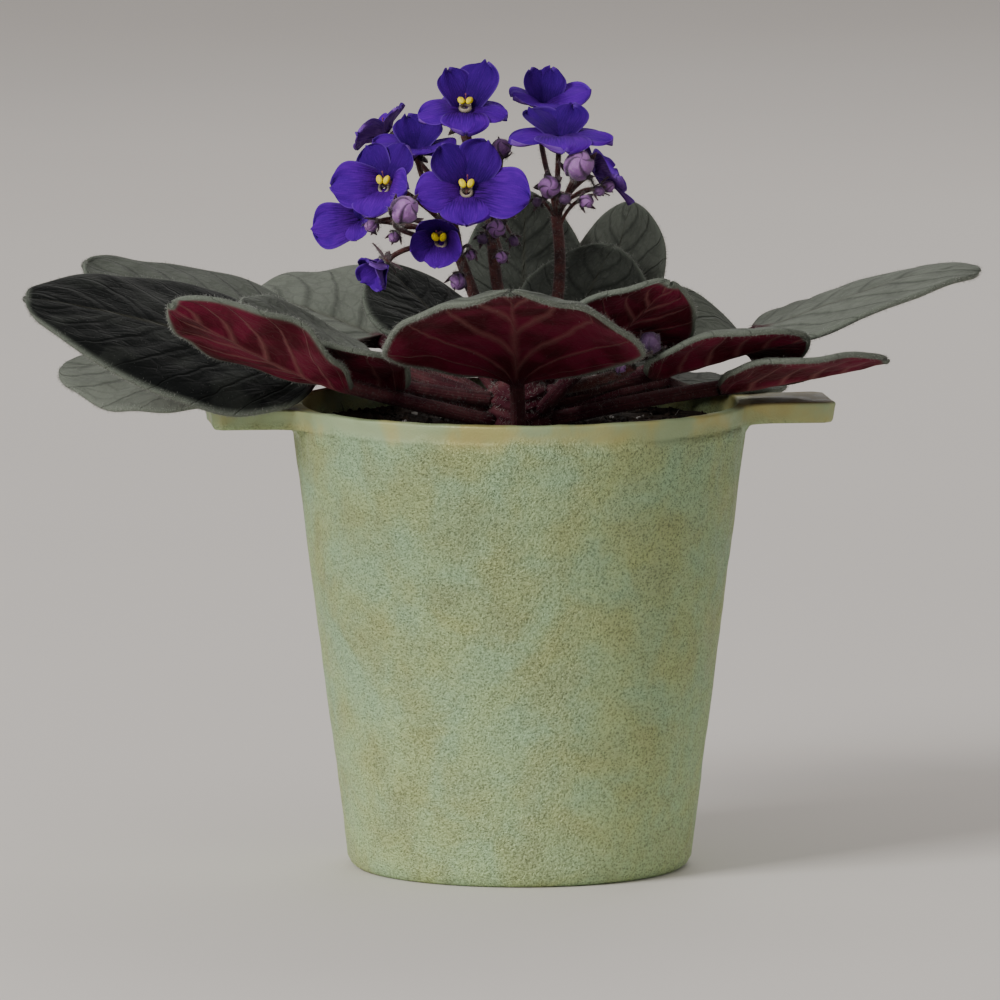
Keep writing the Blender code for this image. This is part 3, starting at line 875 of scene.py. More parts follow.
@dataclass(frozen=True)
class Flesh(Finish):
    """Plain plant flesh between two colours, speckled, for stalks, sepals, buds, anthers."""

    name: str = "flesh"
    low: Colour = (0.055, 0.010, 0.014)
    high: Colour = (0.150, 0.045, 0.040)
    fold: Colour = (0.05, 0.01, 0.03)
    speck: Colour = (0.20, 0.12, 0.10)
    scale: float = 220.0
    depth: float = 0.0003
    roughness: float = 0.6
    sheen: float = 0.2

    def dress(self, sheet: Sheet, shader: bpy.types.Node) -> None:
        """Blend by noise, darken the folds, and speckle.

        Args:
            sheet: the material's nodes.
            shader: its principled shader.
        """
        place = sheet.place()
        cloud = sheet.group(self.effects.mottle, Place=place, Scale=self.scale).outputs[0]
        grain = sheet.group(self.effects.grain, Place=place, Scale=self.scale * 8).outputs[0]
        colour = sheet.mix(sheet.plus(cloud, sheet.value("pale"), clamp=True), self.low, self.high)
        colour = sheet.mix(sheet.span(grain, 0.5, 0.75, 0.0, 0.5), colour, self.speck)
        # The fold value darkens towards the fold colour: painted shade in a bud's grooves and the
        # throat ring's upper half; it also marks an anther's seam and a bud's dark share.
        colour = sheet.mix(sheet.value("fold"), colour, self.fold)
        sheet.feed(shader.inputs["Base Color"], colour)
        sheet.feed(shader.inputs["Normal"], sheet.bump(grain, self.depth))
        sheet.hold(shader, {"Roughness": self.roughness, "Sheen Weight": self.sheen})


@dataclass(frozen=True)
class Plain(Finish):
    """The pale studio floor, with a faint cloud in it."""

    name: str = "studio_floor"

    def dress(self, sheet: Sheet, shader: bpy.types.Node) -> None:
        """A pale warm grey that varies a little.

        Args:
            sheet: the material's nodes.
            shader: its principled shader.
        """
        cloud = sheet.noise(sheet.place(), 3.0)
        colour = sheet.mix(cloud, (0.70, 0.67, 0.64), (0.74, 0.71, 0.68))
        sheet.feed(shader.inputs["Base Color"], colour)
        sheet.hold(shader, {"Roughness": 0.8, "Specular IOR Level": 0.1})


@dataclass
class Palette:
    """Every material of the plant and its pot."""

    effects: Effects = field(default_factory=Effects)
    casting: bpy.types.Material = field(init=False)
    earth: bpy.types.Material = field(init=False)
    velvet: bpy.types.Material = field(init=False)
    down: bpy.types.Material = field(init=False)
    stalk: bpy.types.Material = field(init=False)
    sepal: bpy.types.Material = field(init=False)
    petal: bpy.types.Material = field(init=False)
    bud: bpy.types.Material = field(init=False)
    anther: bpy.types.Material = field(init=False)
    throat: bpy.types.Material = field(init=False)
    style: bpy.types.Material = field(init=False)

    def __post_init__(self) -> None:
        """Make every material."""
        shared = self.effects
        self.casting = Verdigris(effects=shared).make()
        self.earth = Earth(effects=shared).make()
        self.velvet = Velvet(effects=shared).make()
        self.down = Down(effects=shared).make()
        self.petal = Petal(effects=shared).make()
        self.stalk = Flesh("stalk_skin", shared, (0.040, 0.006, 0.008),
                           (0.115, 0.022, 0.020)).make()
        self.sepal = Flesh("sepal_skin", shared, (0.032, 0.010, 0.018),
                           (0.105, 0.040, 0.060)).make()
        self.bud = Flesh("bud_petal", shared, (0.085, 0.018, 0.14), (0.34, 0.14, 0.43),
                         (0.020, 0.006, 0.030), (0.50, 0.32, 0.56), 160.0).make()
        self.anther = Flesh("anther_skin", shared, (0.90, 0.66, 0.002), (1.0, 0.86, 0.006),
                            (0.45, 0.26, 0.004), (1.0, 0.90, 0.04), 500.0, 0.0001, 0.45, 0.0).make()
        self.throat = Flesh("throat_ring", shared, (0.10, 0.07, 0.045), (0.36, 0.30, 0.22),
                            (0.03, 0.012, 0.02), (0.42, 0.36, 0.28), 500.0, 0.0001, 0.4).make()
        self.style = Flesh("style_skin", shared, (0.10, 0.004, 0.03), (0.22, 0.02, 0.09)).make()


# ------------------------------------------------------------------ pot and soil

@dataclass
class Pot:
    """The cast pot: a cone on its narrow end, with a flat handle on each side.

    The hollow is the radius of the round between a handle and the rim, and the corner is
    cut off a handle's end. The turn sets both handles a little askew. The edge is the
    radius of the filed edges, and the web thickens a handle where it meets the wall.
    """

    height: float = 130
    rim: float = 64
    foot: float = 47.5
    wall: float = 3.5
    floor: float = 6
    foot_round: float = 3
    handle_reach: float = 87
    handle_half: float = 14
    handle_thick: float = 6
    hollow: float = 12
    corner: float = 2.5
    turn: float = 6.5
    edge: float = 0.9
    web: float = 2.5

    def radius(self, height: Array | float) -> Array | float:
        """The outer radius at a height: it grows evenly from foot to rim."""
        return self.foot + (self.rim - self.foot) * height / self.height

    def plan(self) -> Array:
        """The outline seen from above.

        A quarter of it runs from the middle of a handle's end past a cut corner and along
        its side, round a hollow that meets the rim, and along the rim. It is mirrored, and
        turned half round for the other handle.

        Returns:
            Points of the closed outline, anticlockwise.
        """
        hollow_y = self.handle_half + self.hollow
        hollow_x = math.sqrt((self.rim + self.hollow) ** 2 - hollow_y ** 2)
        meeting = math.atan2(hollow_y, hollow_x)
        end = np.array(((self.handle_reach, 0), (self.handle_reach, self.handle_half - self.corner),
                        (self.handle_reach - self.corner, self.handle_half)))
        bend = -math.pi / 2 - np.linspace(0, math.pi / 2 - meeting, 60)
        curve = np.stack((hollow_x + self.hollow * np.cos(bend),
                          hollow_y + self.hollow * np.sin(bend)), -1)
        arc = np.linspace(meeting, math.pi / 2, 200)[1:]
        quarter = np.concatenate((end, curve, self.rim * np.stack((np.cos(arc), np.sin(arc)), -1)))
        stride = np.linalg.norm(np.diff(quarter, axis=0), axis=1)
        beyond = np.linalg.norm(quarter[1:], axis=1) > self.rim + 0.2
        travel = np.concatenate(((0,), np.cumsum(stride / np.where(beyond, 0.8, 2.0))))
        even = np.linspace(0, travel[-1], int(travel[-1]) + 1)
        quarter = np.stack([np.interp(even, travel, quarter[:, axis]) for axis in (0, 1)], -1)
        half = np.concatenate((quarter[:0:-1] * (1, -1), quarter))[:-1]
        return np.concatenate((half, -half))

    def rows(self) -> tuple[Array, Array]:
        """The pot's skin, from the middle of the inside floor to the middle of the base.

        Each row is the outline or a circle, moved inwards along its normal: up the inner
        wall, over the lip, across the flat top, round its edge, down the side, back
        beneath the handle to the wall with a web, down the wall and round the foot.

        Returns:
            The grid of points, and a mask of the flat top.
        """
        plan = self.plan()
        course = np.roll(plan, -1, axis=0) - np.roll(plan, 1, axis=0)
        normal = unit(np.stack((course[:, 1], -course[:, 0]), -1))
        radial = unit(plan)
        overhang = np.maximum(np.linalg.norm(plan, axis=1) - self.rim, 0)
        low = self.height - self.handle_thick
        drop = self.web * smooth(overhang / 12)
        rows: list[tuple[Array, Array | float, float]] = []

        def ring(radius: float, height: float, level: float = 0.0) -> None:
            """Add a circle."""
            rows.append((radial * radius, height, level))

        inner = self.radius(self.floor) - self.wall
        for radius in (2, 20, inner - 4, inner - 1):
            ring(radius, self.floor)
        for height in np.linspace(self.floor + 1.5, self.height - 3, 14):
            ring(self.radius(height) - self.wall, height)
        lip = self.rim - self.wall
        for angle in np.radians(np.linspace(0, 90, 5)):
            ring(lip + self.edge * (1 - math.cos(angle)),
                 self.height - self.edge * (1 - math.sin(angle)), math.sin(angle))
        start, stop = radial * (lip + self.edge), plan - normal * self.edge
        for share in np.linspace(0, 1, 12)[1:]:
            rows.append((start + (stop - start) * share, self.height, 1.0))
        for angle in np.radians(np.linspace(0, 90, 6))[1:]:
            rows.append((plan - normal * self.edge * (1 - math.sin(angle)),
                         self.height - self.edge * (1 - math.cos(angle)), math.cos(angle) ** 2))
        lower = self.edge * smooth(overhang / 3)
        draft = self.rim - self.radius(low)
        for share in np.linspace(0, 1, 5)[1:]:
            fall = share * (self.handle_thick - self.edge - lower)
            rows.append((plan - normal * (draft * (self.edge + fall) / self.handle_thick)[:, None],
                         self.height - self.edge - fall, 0.0))
        for angle in np.radians(np.linspace(0, 90, 4))[1:]:
            inset = draft + lower * (1 - math.cos(angle))
            rows.append((plan - normal * inset[:, None], low + lower * (1 - math.sin(angle)), 0.0))
        outer = plan - normal * (draft + lower)[:, None]
        wall = radial * self.radius(low - drop)[:, None]
        for share in np.linspace(0, 1, 21)[1:]:
            web = 1 - math.sqrt(1 - max((share - 0.8) / 0.2, 0) ** 2)
            rows.append((outer + (wall - outer) * share, low - drop * web, 0.0))
        for share in np.linspace(0, 1, 56)[1:]:
            height = (low - drop) + (self.foot_round - low + drop) * share
            rows.append((radial * self.radius(height)[:, None], height, 0.0))
        for angle in np.radians(np.linspace(0, 90, 6))[1:]:
            ring(self.radius(0) - self.foot_round * (1 - math.cos(angle)),
                 self.foot_round * (1 - math.sin(angle)))
        for radius in (30, 10):
            ring(radius, 0)
        grid = np.stack([np.column_stack((place, np.broadcast_to(height, len(plan))))
                         for place, height, _ in rows])
        level = np.array([level for *_, level in rows])[:, None] * np.ones(len(plan))
        return grid, level

    def build(self, palette: Palette) -> None:
        """Make the casting, a little uneven as cast and filed metal is.

        Args:
            palette: the materials.
        """
        grid, level = self.rows()
        turn = math.radians(self.turn)
        across, deep, height = np.moveaxis(grid, -1, 0)
        grid = np.stack((across * math.cos(turn) - deep * math.sin(turn),
                         across * math.sin(turn) + deep * math.cos(turn), height), -1) * MM
        swell = 0.13 * MM * ripple(grid, 0.03, 3) + 0.06 * MM * ripple(grid, 0.011, 4)
        flat = np.concatenate((unit(grid[..., :2]), np.zeros(grid.shape[:2] + (1,))), -1)
        inside = (grid[..., 2] > 1 * MM)[..., None]
        grid = grid + flat * np.minimum(swell, 0.1 * MM)[..., None] * inside
        grid[..., 2] -= np.abs(0.22 * MM * ripple(grid * (1, 1, 0), 0.022, 5)) * level
        draft = Draft("cast_pot")
        draft.loft(grid, level=level * (np.linalg.norm(grid[..., :2], axis=-1) > 64.5 * MM))
        settle(draft, [palette.casting], Slot.POT, "pot")


GOLDEN = 1.618
CRUMB_POINTS = unit(np.array(
    [(0, y, z) for z in (GOLDEN, -GOLDEN) for y in (1, -1)]
    + [(x, y, 0) for y in (GOLDEN, -GOLDEN) for x in (1, -1)]
    + [(x, 0, z) for z in (1, -1) for x in (GOLDEN, -GOLDEN)]))
CRUMB_FACES = np.array((
    (0, 1, 8), (0, 8, 4), (0, 4, 5), (0, 5, 9), (0, 9, 1), (3, 2, 11), (3, 11, 7), (3, 7, 6),
    (3, 6, 10), (3, 10, 2), (1, 6, 8), (8, 6, 10), (8, 10, 4), (4, 10, 2), (4, 2, 5), (5, 2, 11),
    (5, 11, 9), (9, 11, 7), (9, 7, 1), (1, 7, 6)))


@dataclass
class Soil:
    """The potting mix: a rough bed, loose crumbs, white grit and fibres.

    Its surface dips from the edge to the middle, and it stands clear of the pot by a gap.
    """

    pot: Pot
    edge: float = 123
    middle: float = 122.2
    gap: float = 0.3
    crumbs: int = 1700
    grit: int = 70
    fibres: int = 260
    seed: int = 21
    rings: int = 46
    spokes: int = 150

    def build(self, palette: Palette) -> None:
        """Make the bed and strew it.

        Args:
            palette: the materials.
        """
        rng = np.random.default_rng(self.seed)
        reach = self.pot.radius(self.edge) - self.pot.wall - self.gap
        low = self.pot.floor + self.gap
        base = self.pot.radius(low) - self.pot.wall - self.gap
        radii = np.concatenate((np.linspace(0.5, reach, self.rings),
                                np.linspace(reach, base, 8)[1:], np.linspace(base, 1, 4)[1:]))
        top = self.middle + (self.edge - self.middle) * (radii[:self.rings] / reach) ** 2
        heights = np.concatenate((top, np.linspace(self.edge, low, 8)[1:], np.full(3, low)))
        turn = np.linspace(0, 2 * np.pi, self.spokes, endpoint=False)
        grid = np.stack((radii[:, None] * np.cos(turn), radii[:, None] * np.sin(turn),
                         heights[:, None] * np.ones(self.spokes)), -1) * MM
        rough = ripple(grid, 0.004, 6) * 0.45 + ripple(grid, 0.012, 7) * 0.6
        loose = (np.arange(len(radii)) < self.rings - 1)[:, None]
        grid[..., 2] += rough * loose * MM
        draft = Draft("soil_bed")
        draft.loft(grid, tone=0.4 + 0.3 * ripple(grid, 0.005, 8))
        count = self.crumbs + self.grit
        distance = np.sqrt(rng.uniform((10 / reach) ** 2, 0.97 ** 2, count)) * reach
        angle = rng.uniform(0, 2 * np.pi, count)
        lift = self.middle + (self.edge - self.middle) * (distance / reach) ** 2 + 0.3
        spot = np.stack((distance * np.cos(angle), distance * np.sin(angle), lift), -1) * MM
        size = np.concatenate((rng.uniform(0.35, 1.3, self.crumbs) ** 1.4,
                               rng.uniform(0.5, 1.1, self.grit)))[:, None] * MM
        shape = CRUMB_POINTS[None] * rng.uniform(0.6, 1.25, (count, 12, 1))
        shape = shape * rng.uniform(0.6, 1.1, (count, 1, 3))
        tone = np.concatenate((rng.uniform(0, 1, self.crumbs), np.full(self.grit, 1.6)))
        draft.copies(spot[:, None] + shape * size[:, None], (CRUMB_FACES,), tone=tone)
        strewn = Spots(spot[:self.fibres], unit(rng.normal(size=(self.fibres, 3)) * (1, 1, 0.25)))
        Hairs((2.0, 6.0), 0.11, 0.1).grow(draft, strewn, 0, rng, 0.9)
        settle(draft, [palette.earth], Slot.SOIL, "soil")


# ------------------------------------------------------------------ leaves

@dataclass
class Leaf:
    """One leaf, from the crown to its tip.

    The heading turns anticlockwise from +X seen from above. The pitches are at the crown,
    at the blade's start, at its middle and at its tip. Roll lifts the blade's left side,
    seen from the crown, at the blade's start and tip. The folds lift the left and right
    halves, at even steps from its start to its tip, and curl bends the margins. The wedge
    is the share of the blade over which it widens slowly from its stalk. The tone runs
    from a dark face to a pale one: partly the leaf's own green, partly painted light and
    shade, dark for leaves that lie in shadow and pale for lit ones. Side veins leave the
    midrib at each spacing and sweep forwards, both as shares of the blade. The hairs are a
    share of the usual number. The origin is the distance from the crown's axis at which
    the pitch starts, and the root is how far the stalk reaches back into the crown.
    """

    name: str
    heading: float
    height: float
    petiole: float
    length: float
    width: float
    pitches: tuple[float, float, float, float]
    roll: tuple[float, float] = (0, 0)
    left_fold: tuple[float, ...] = (0, 0)
    right_fold: tuple[float, ...] = (0, 0)
    curl: float = -12
    wedge: float = 0.0
    tone: float = 0.6
    sweep: float = 0.42
    spacing: float = 0.19
    hairs: float = 1.0
    origin: float = 11.2
    root: float = 2.5
    stalk_radius: float = 2.1
    taper: float = 0.7
    thickness: float = 0.85
    rows: int = 110
    columns: int = 50

    FACE_HAIRS = Hairs((0.4, 0.85), 0.022, 0.6)
    EDGE_HAIRS = Hairs((0.5, 1.15), 0.028, 0.5)
    STEM_HAIRS = Hairs((0.6, 1.4), 0.028, 0.35)

    def midrib(self, distance: Array) -> tuple[Array, Array]:
        """The midrib: its direction, whose pitch runs straight between knots, summed.

        Args:
            distance: distances from the crown.

        Returns:
            Places in millimetres and directions.
        """
        knots = (0, self.petiole, self.petiole + self.length / 2, self.petiole + self.length)
        fine = np.linspace(-self.root, knots[-1], 600)
        middle = (fine[1:] + fine[:-1]) / 2
        course = facing(self.heading, np.interp(middle, knots, self.pitches))
        stride = course * np.diff(fine)[:, None]
        path = np.concatenate((np.zeros((1, 3)), np.cumsum(stride, axis=0)))
        start = facing(self.heading, 0.0) * self.origin + (0, 0, self.height)
        path += start - [np.interp(0, fine, path[:, axis]) for axis in range(3)]
        place = np.stack([np.interp(distance, fine, path[:, axis]) for axis in range(3)], -1)
        return place, facing(self.heading, np.interp(distance, knots, self.pitches))

    def skin(self) -> tuple[Array, dict[str, Array]]:
        """The leaf's skin.

        Across each station the sheet is a line whose halves are lifted by their fold, and
        more so outwards by the curl. The half width is the sine of a power of the place
        along the blade. Between veins the sheet swells, and its margin waves a little.

        Returns:
            The grid of points in metres, and the values that the finish reads.
        """
        share = np.linspace(0, 1, self.rows + 1)[1:-1]
        blade_part = self.petiole + self.length * (1 - np.cos(np.pi * share)) / 2
        distance = np.concatenate((np.linspace(-self.root, self.petiole, 22), blade_part))
        along = (distance - self.petiole) / self.length
        place, forward = self.midrib(distance)
        level_side = facing(self.heading + 90, 0.0)
        level_up = np.cross(forward, level_side)
        roll = np.radians(np.interp(along, (-0.5, 0, 1), (0,) + tuple(self.roll)))[:, None]
        side = level_side * np.cos(roll) + level_up * np.sin(roll)
        up = level_up * np.cos(roll) - level_side * np.sin(roll)
        turn = np.linspace(0, np.pi, self.columns)
        across = -np.cos(turn + 0.22 * np.sin(2 * turn))
        held = np.clip(along, 0, 1)
        outline = np.maximum(np.sin(np.pi * held ** 0.72), 0) ** 0.52
        if self.wedge:
            outline = outline * np.sqrt(np.clip(held / self.wedge, 0, 1))
        stem = self.stalk_radius * (1 - self.taper * held)
        half = np.maximum(self.width / 2 * outline, stem)[:, None]
        blade = smooth(along / 0.12)[:, None]
        left, right = (np.interp(held, np.linspace(0, 1, len(fold)), fold)[:, None]
                       for fold in (self.left_fold, self.right_fold))
        fold = np.where(across > 0, left, right)
        lift = np.radians(fold + self.curl * across ** 2 / 3) * blade
        out, off = np.abs(across) * half, held[:, None]
        middle = (place[:, None] + side[:, None] * (across * half * np.cos(lift))[..., None]
                  + up[:, None] * (out * np.sin(lift))[..., None])
        index = (off - self.sweep * np.abs(across) ** 1.15) / self.spacing + 0.4 * (across > 0)
        swell = 0.22 * np.cos(2 * np.pi * index) * smooth(out / 6) * smooth((half - out) / 5)
        grain = middle * MM
        swell = swell + 0.12 * ripple(grain, 0.009, 11) * smooth((half - out) / 4)
        wave = 0.9 * ripple(grain, 0.026, int(self.heading)) * smooth(out / (0.9 * half)) ** 2
        sheet_part = smooth(along / 0.05)[:, None]
        middle = middle + up[:, None] * ((swell + wave) * blade)[..., None]
        rounding = np.clip((out - half + self.thickness) / self.thickness, 0, 1)
        sheet_half = self.thickness * np.sqrt(1 - rounding ** 2)
        pipe = stem[:, None] * np.sqrt(1 - across ** 2)
        ridge = np.exp(-(out / (1.1 * stem[:, None])) ** 2)
        over = sheet_half + ridge * (1.2 * (1 - smooth(along / 0.15)[:, None]) - 0.35)
        under = sheet_half + ridge * 1.5 * (1 - 0.8 * off)
        over = pipe * (1 - sheet_part) + over * sheet_part * (rounding < 1)
        under = pipe * (1 - sheet_part) + under * sheet_part * (rounding < 1)
        grid = sheet_grid(middle, over, under) * MM
        gap = np.minimum((1 - np.abs(across)) * half, (1 - off) * self.length)
        beneath = beneath_mask(len(distance), self.columns)
        beneath = beneath * smooth((there_and_back(gap) - 0.5) / 0.8)
        on_stem = 0.05 * (out < stem[:, None])
        values = {"along": there_and_back(off * np.ones_like(out)),
                  "across": there_and_back(np.broadcast_to(across, out.shape)), "under": beneath,
                  "index": there_and_back(index), "tone": self.tone * np.ones_like(beneath),
                  "rim": there_and_back(np.clip(1 - gap / 2.0, 0, 1) ** 1.5 * blade),
                  "stem": there_and_back(1 - smooth((along[:, None] + 0.02 - on_stem) / 0.07)
                                         * np.ones_like(out))}
        return grid, values

    def grow(self, draft: Draft, rng: np.random.Generator) -> None:
        """Add the skin and its hairs: close along the margin and stalk, thin elsewhere.

        Args:
            draft: the mesh to add them to.
            rng: source of chance.
        """
        grid, values = self.skin()
        draft.loft(grid, 0, **values)
        size = (self.length * self.width) / 4000 * self.hairs
        least = 1e-4
        # Face and margin hairs follow the leaf's tone, so they carry its painted light and shade.
        coats = (
            (self.FACE_HAIRS, 1.0 - 0.88 * values["under"], 1100 * size, 0.02 + 0.26 * self.tone),
            (self.EDGE_HAIRS, values["rim"] ** 3 + least, 2600 * size, 0.40 + 0.25 * self.tone),
            (self.STEM_HAIRS, values["stem"] + least, 11 * self.petiole * self.hairs, 0.28))
        for hairs, weight, count, tone in coats:
            hairs.grow(draft, scatter(grid, weight, int(count), rng), 1, rng, tone)

    def build(self, palette: Palette, seed: int) -> None:
        """Make the leaf as one piece.

        Args:
            palette: the materials.
            seed: seed of its chance.
        """
        draft = Draft(self.name + "_blade")
        self.grow(draft, np.random.default_rng(seed))
        settle(draft, [palette.velvet, palette.down], Slot.LEAF, self.name)


@dataclass
class Rosette:
    """Every leaf."""

    leaves: tuple[Leaf, ...] = (
        # Each tone is partly painted light and shade: leaf_left_main and leaf_back_left lie in
        # shadow and are dark, lit leaves are pale.
        Leaf("leaf_front", 268, 125.2, 15, 66, 74, (60, 44, 30, 10), curl=-34, wedge=0.42,
             tone=0.8, sweep=0.8, spacing=0.3),
        Leaf("leaf_front_left", 212, 125.2, 44, 64, 36, (14, 16, 26, 29), (12, 50), (5, 5),
             (15, 25), wedge=0.45, tone=0.8),
        Leaf("leaf_left_main", 185, 127.4, 46, 84, 62, (17, 14, 16, 9), (-24, -26), curl=-20,
             tone=0.0, sweep=0.34, spacing=0.15),
        Leaf("leaf_left_back", 166, 130.8, 55, 64, 50, (15, 17, 18, 15), (-16, -16), tone=0.6),
        Leaf("leaf_left_low", 155, 125.2, 58, 74, 56, (14, 4, -2, -5), (-18, -18), tone=1.0),
        Leaf("leaf_left_mid", 203, 131, 26, 53, 48, (8, 12, 31, 30), (0, -10), (30, 8),
             (34, 22), tone=0.85),
        Leaf("leaf_left_up", 142, 129.6, 40, 52, 58, (22, 18, 12, 4), (0, 0), (-12, -5),
             (28, 20), tone=1.0),
        Leaf("leaf_back_left", 134, 134, 16, 36, 42, (42, 34, 32, 34), tone=0.0),
        Leaf("leaf_back_tall", 88, 129.6, 30, 36, 34, (50, 56, 56, 56), tone=0.35),
        Leaf("leaf_back_right", 57, 129.6, 33, 38, 34, (30, 40, 64, 66), tone=0.75),
        Leaf("leaf_back_mid", 45, 134.3, 12, 32, 42, (56, 55, 54, 54), (20, 20), tone=0.35),
        Leaf("leaf_right_up", 312, 129.6, 24, 39, 42, (40, 38, 36, 32), (-15, -20), tone=0.8),
        Leaf("leaf_right_fold", 342.5, 133, 28, 46, 46, (9, 14, 18, 9), (-4, -4),
             (145, 98, 4, -10, -10), (24, 28), curl=-45, tone=0.9),
        Leaf("leaf_right_long", 9, 129.6, 58, 66, 44, (17, 19, 20, 2), (4, 6), tone=1.0),
        Leaf("leaf_right_low", 352, 125.2, 46, 47, 46, (14, 9, 10, 12), (-12, -8), (8, 8),
             (10, 10), tone=0.8),
        Leaf("leaf_rear_left", 134, 125.2, 40, 50, 40, (20, 6, -4, -6), hairs=0.6),
        Leaf("leaf_rear", 100, 125.2, 40, 54, 38, (20, 6, -4, -8), hairs=0.6),
        Leaf("leaf_rear_right", 66, 125.2, 40, 54, 42, (20, 6, -4, -8), hairs=0.6),
        Leaf("leaf_right_back", 32, 125.2, 38, 38, 40, (16, 4, -4, -8), hairs=0.6),
    )

    def build(self, palette: Palette) -> None:
        """Make every leaf."""
        for order, leaf in enumerate(self.leaves):
            leaf.build(palette, 100 + order)


@dataclass
class Crown:
    """The short stem, ringed with scars, with young leaves at its top."""

    radius: float = 9.2
    collar: float = 121
    top: float = 136.5
    young: tuple[tuple[float, float, float], ...] = (
        (30, 9, 66), (78, 11, 58), (128, 8, 64), (176, 10, 60), (338, 8, 62))

    def build(self, palette: Palette) -> None:
        """Make the stem, a dome on a column with soft rings, and its young leaves.

        Args:
            palette: the materials.
        """
        rng = np.random.default_rng(41)
        lift = np.linspace(self.collar - 8, self.top, 44)
        dome = np.sqrt(np.clip(1 - ((lift - self.top + 6) / 6.2).clip(0) ** 2, 0, 1))
        turn = np.linspace(0, 2 * np.pi, 60, endpoint=False)
        rings = 0.05 * np.sin(2.1 * lift[:, None] + 2 * np.sin(3 * turn))
        reach = self.radius * dome[:, None] * (1 + rings)
        grid = np.stack((reach * np.cos(turn), reach * np.sin(turn),
                         lift[:, None] * np.ones(60)), -1) * MM
        draft = Draft("crown_stem")
        draft.loft(grid, 0, stem=1.0)
        Hairs().cover(draft, grid, 1500, 1, rng, 0.6)
        for heading, length, pitch in self.young:
            small = Leaf("young", heading, 133.5, 2.5, length, length * 0.62, (pitch,) * 4, curl=-6,
                         left_fold=(18, 10), right_fold=(18, 10), origin=4.5, root=1.5,
                         stalk_radius=0.9, thickness=0.5, rows=40, columns=24, hairs=6.0)
            small.grow(draft, rng)
        settle(draft, [palette.velvet, palette.down], Slot.CROWN, "crown")


# ------------------------------------------------------------------ flowers

@dataclass
class Head:
    """Where a flower or bud is, which way it faces, and the stalk that carries it."""

    name: str
    stalk: str
    centre: Triple
    azimuth: float
    elevation: float
    radius: float

    def axes(self) -> Array:
        """Its right, up and out directions.

        Returns:
            Three rows: right, up and out.
        """
        out = facing(self.azimuth, self.elevation)
        turn = math.radians(self.azimuth)
        right = np.array((-math.sin(turn), math.cos(turn), 0.0))
        return np.stack((right, np.cross(out, right), out))

    def depth(self) -> float:
        """How far its calyx stands behind its centre."""
        return 0.95

    def sepal_course(self, share: Array) -> tuple[Array, Array]:
        """How far out and forward a sepal's middle is, from its foot to its tip.

        Args:
            share: places along the sepal, from 0 to 1.

        Returns:
            Distances outwards from the axis, and forwards from the head's centre.
        """
        return 1.2 + 4.8 * share, -1.3 - 1.2 * share + 0.6 * share ** 2


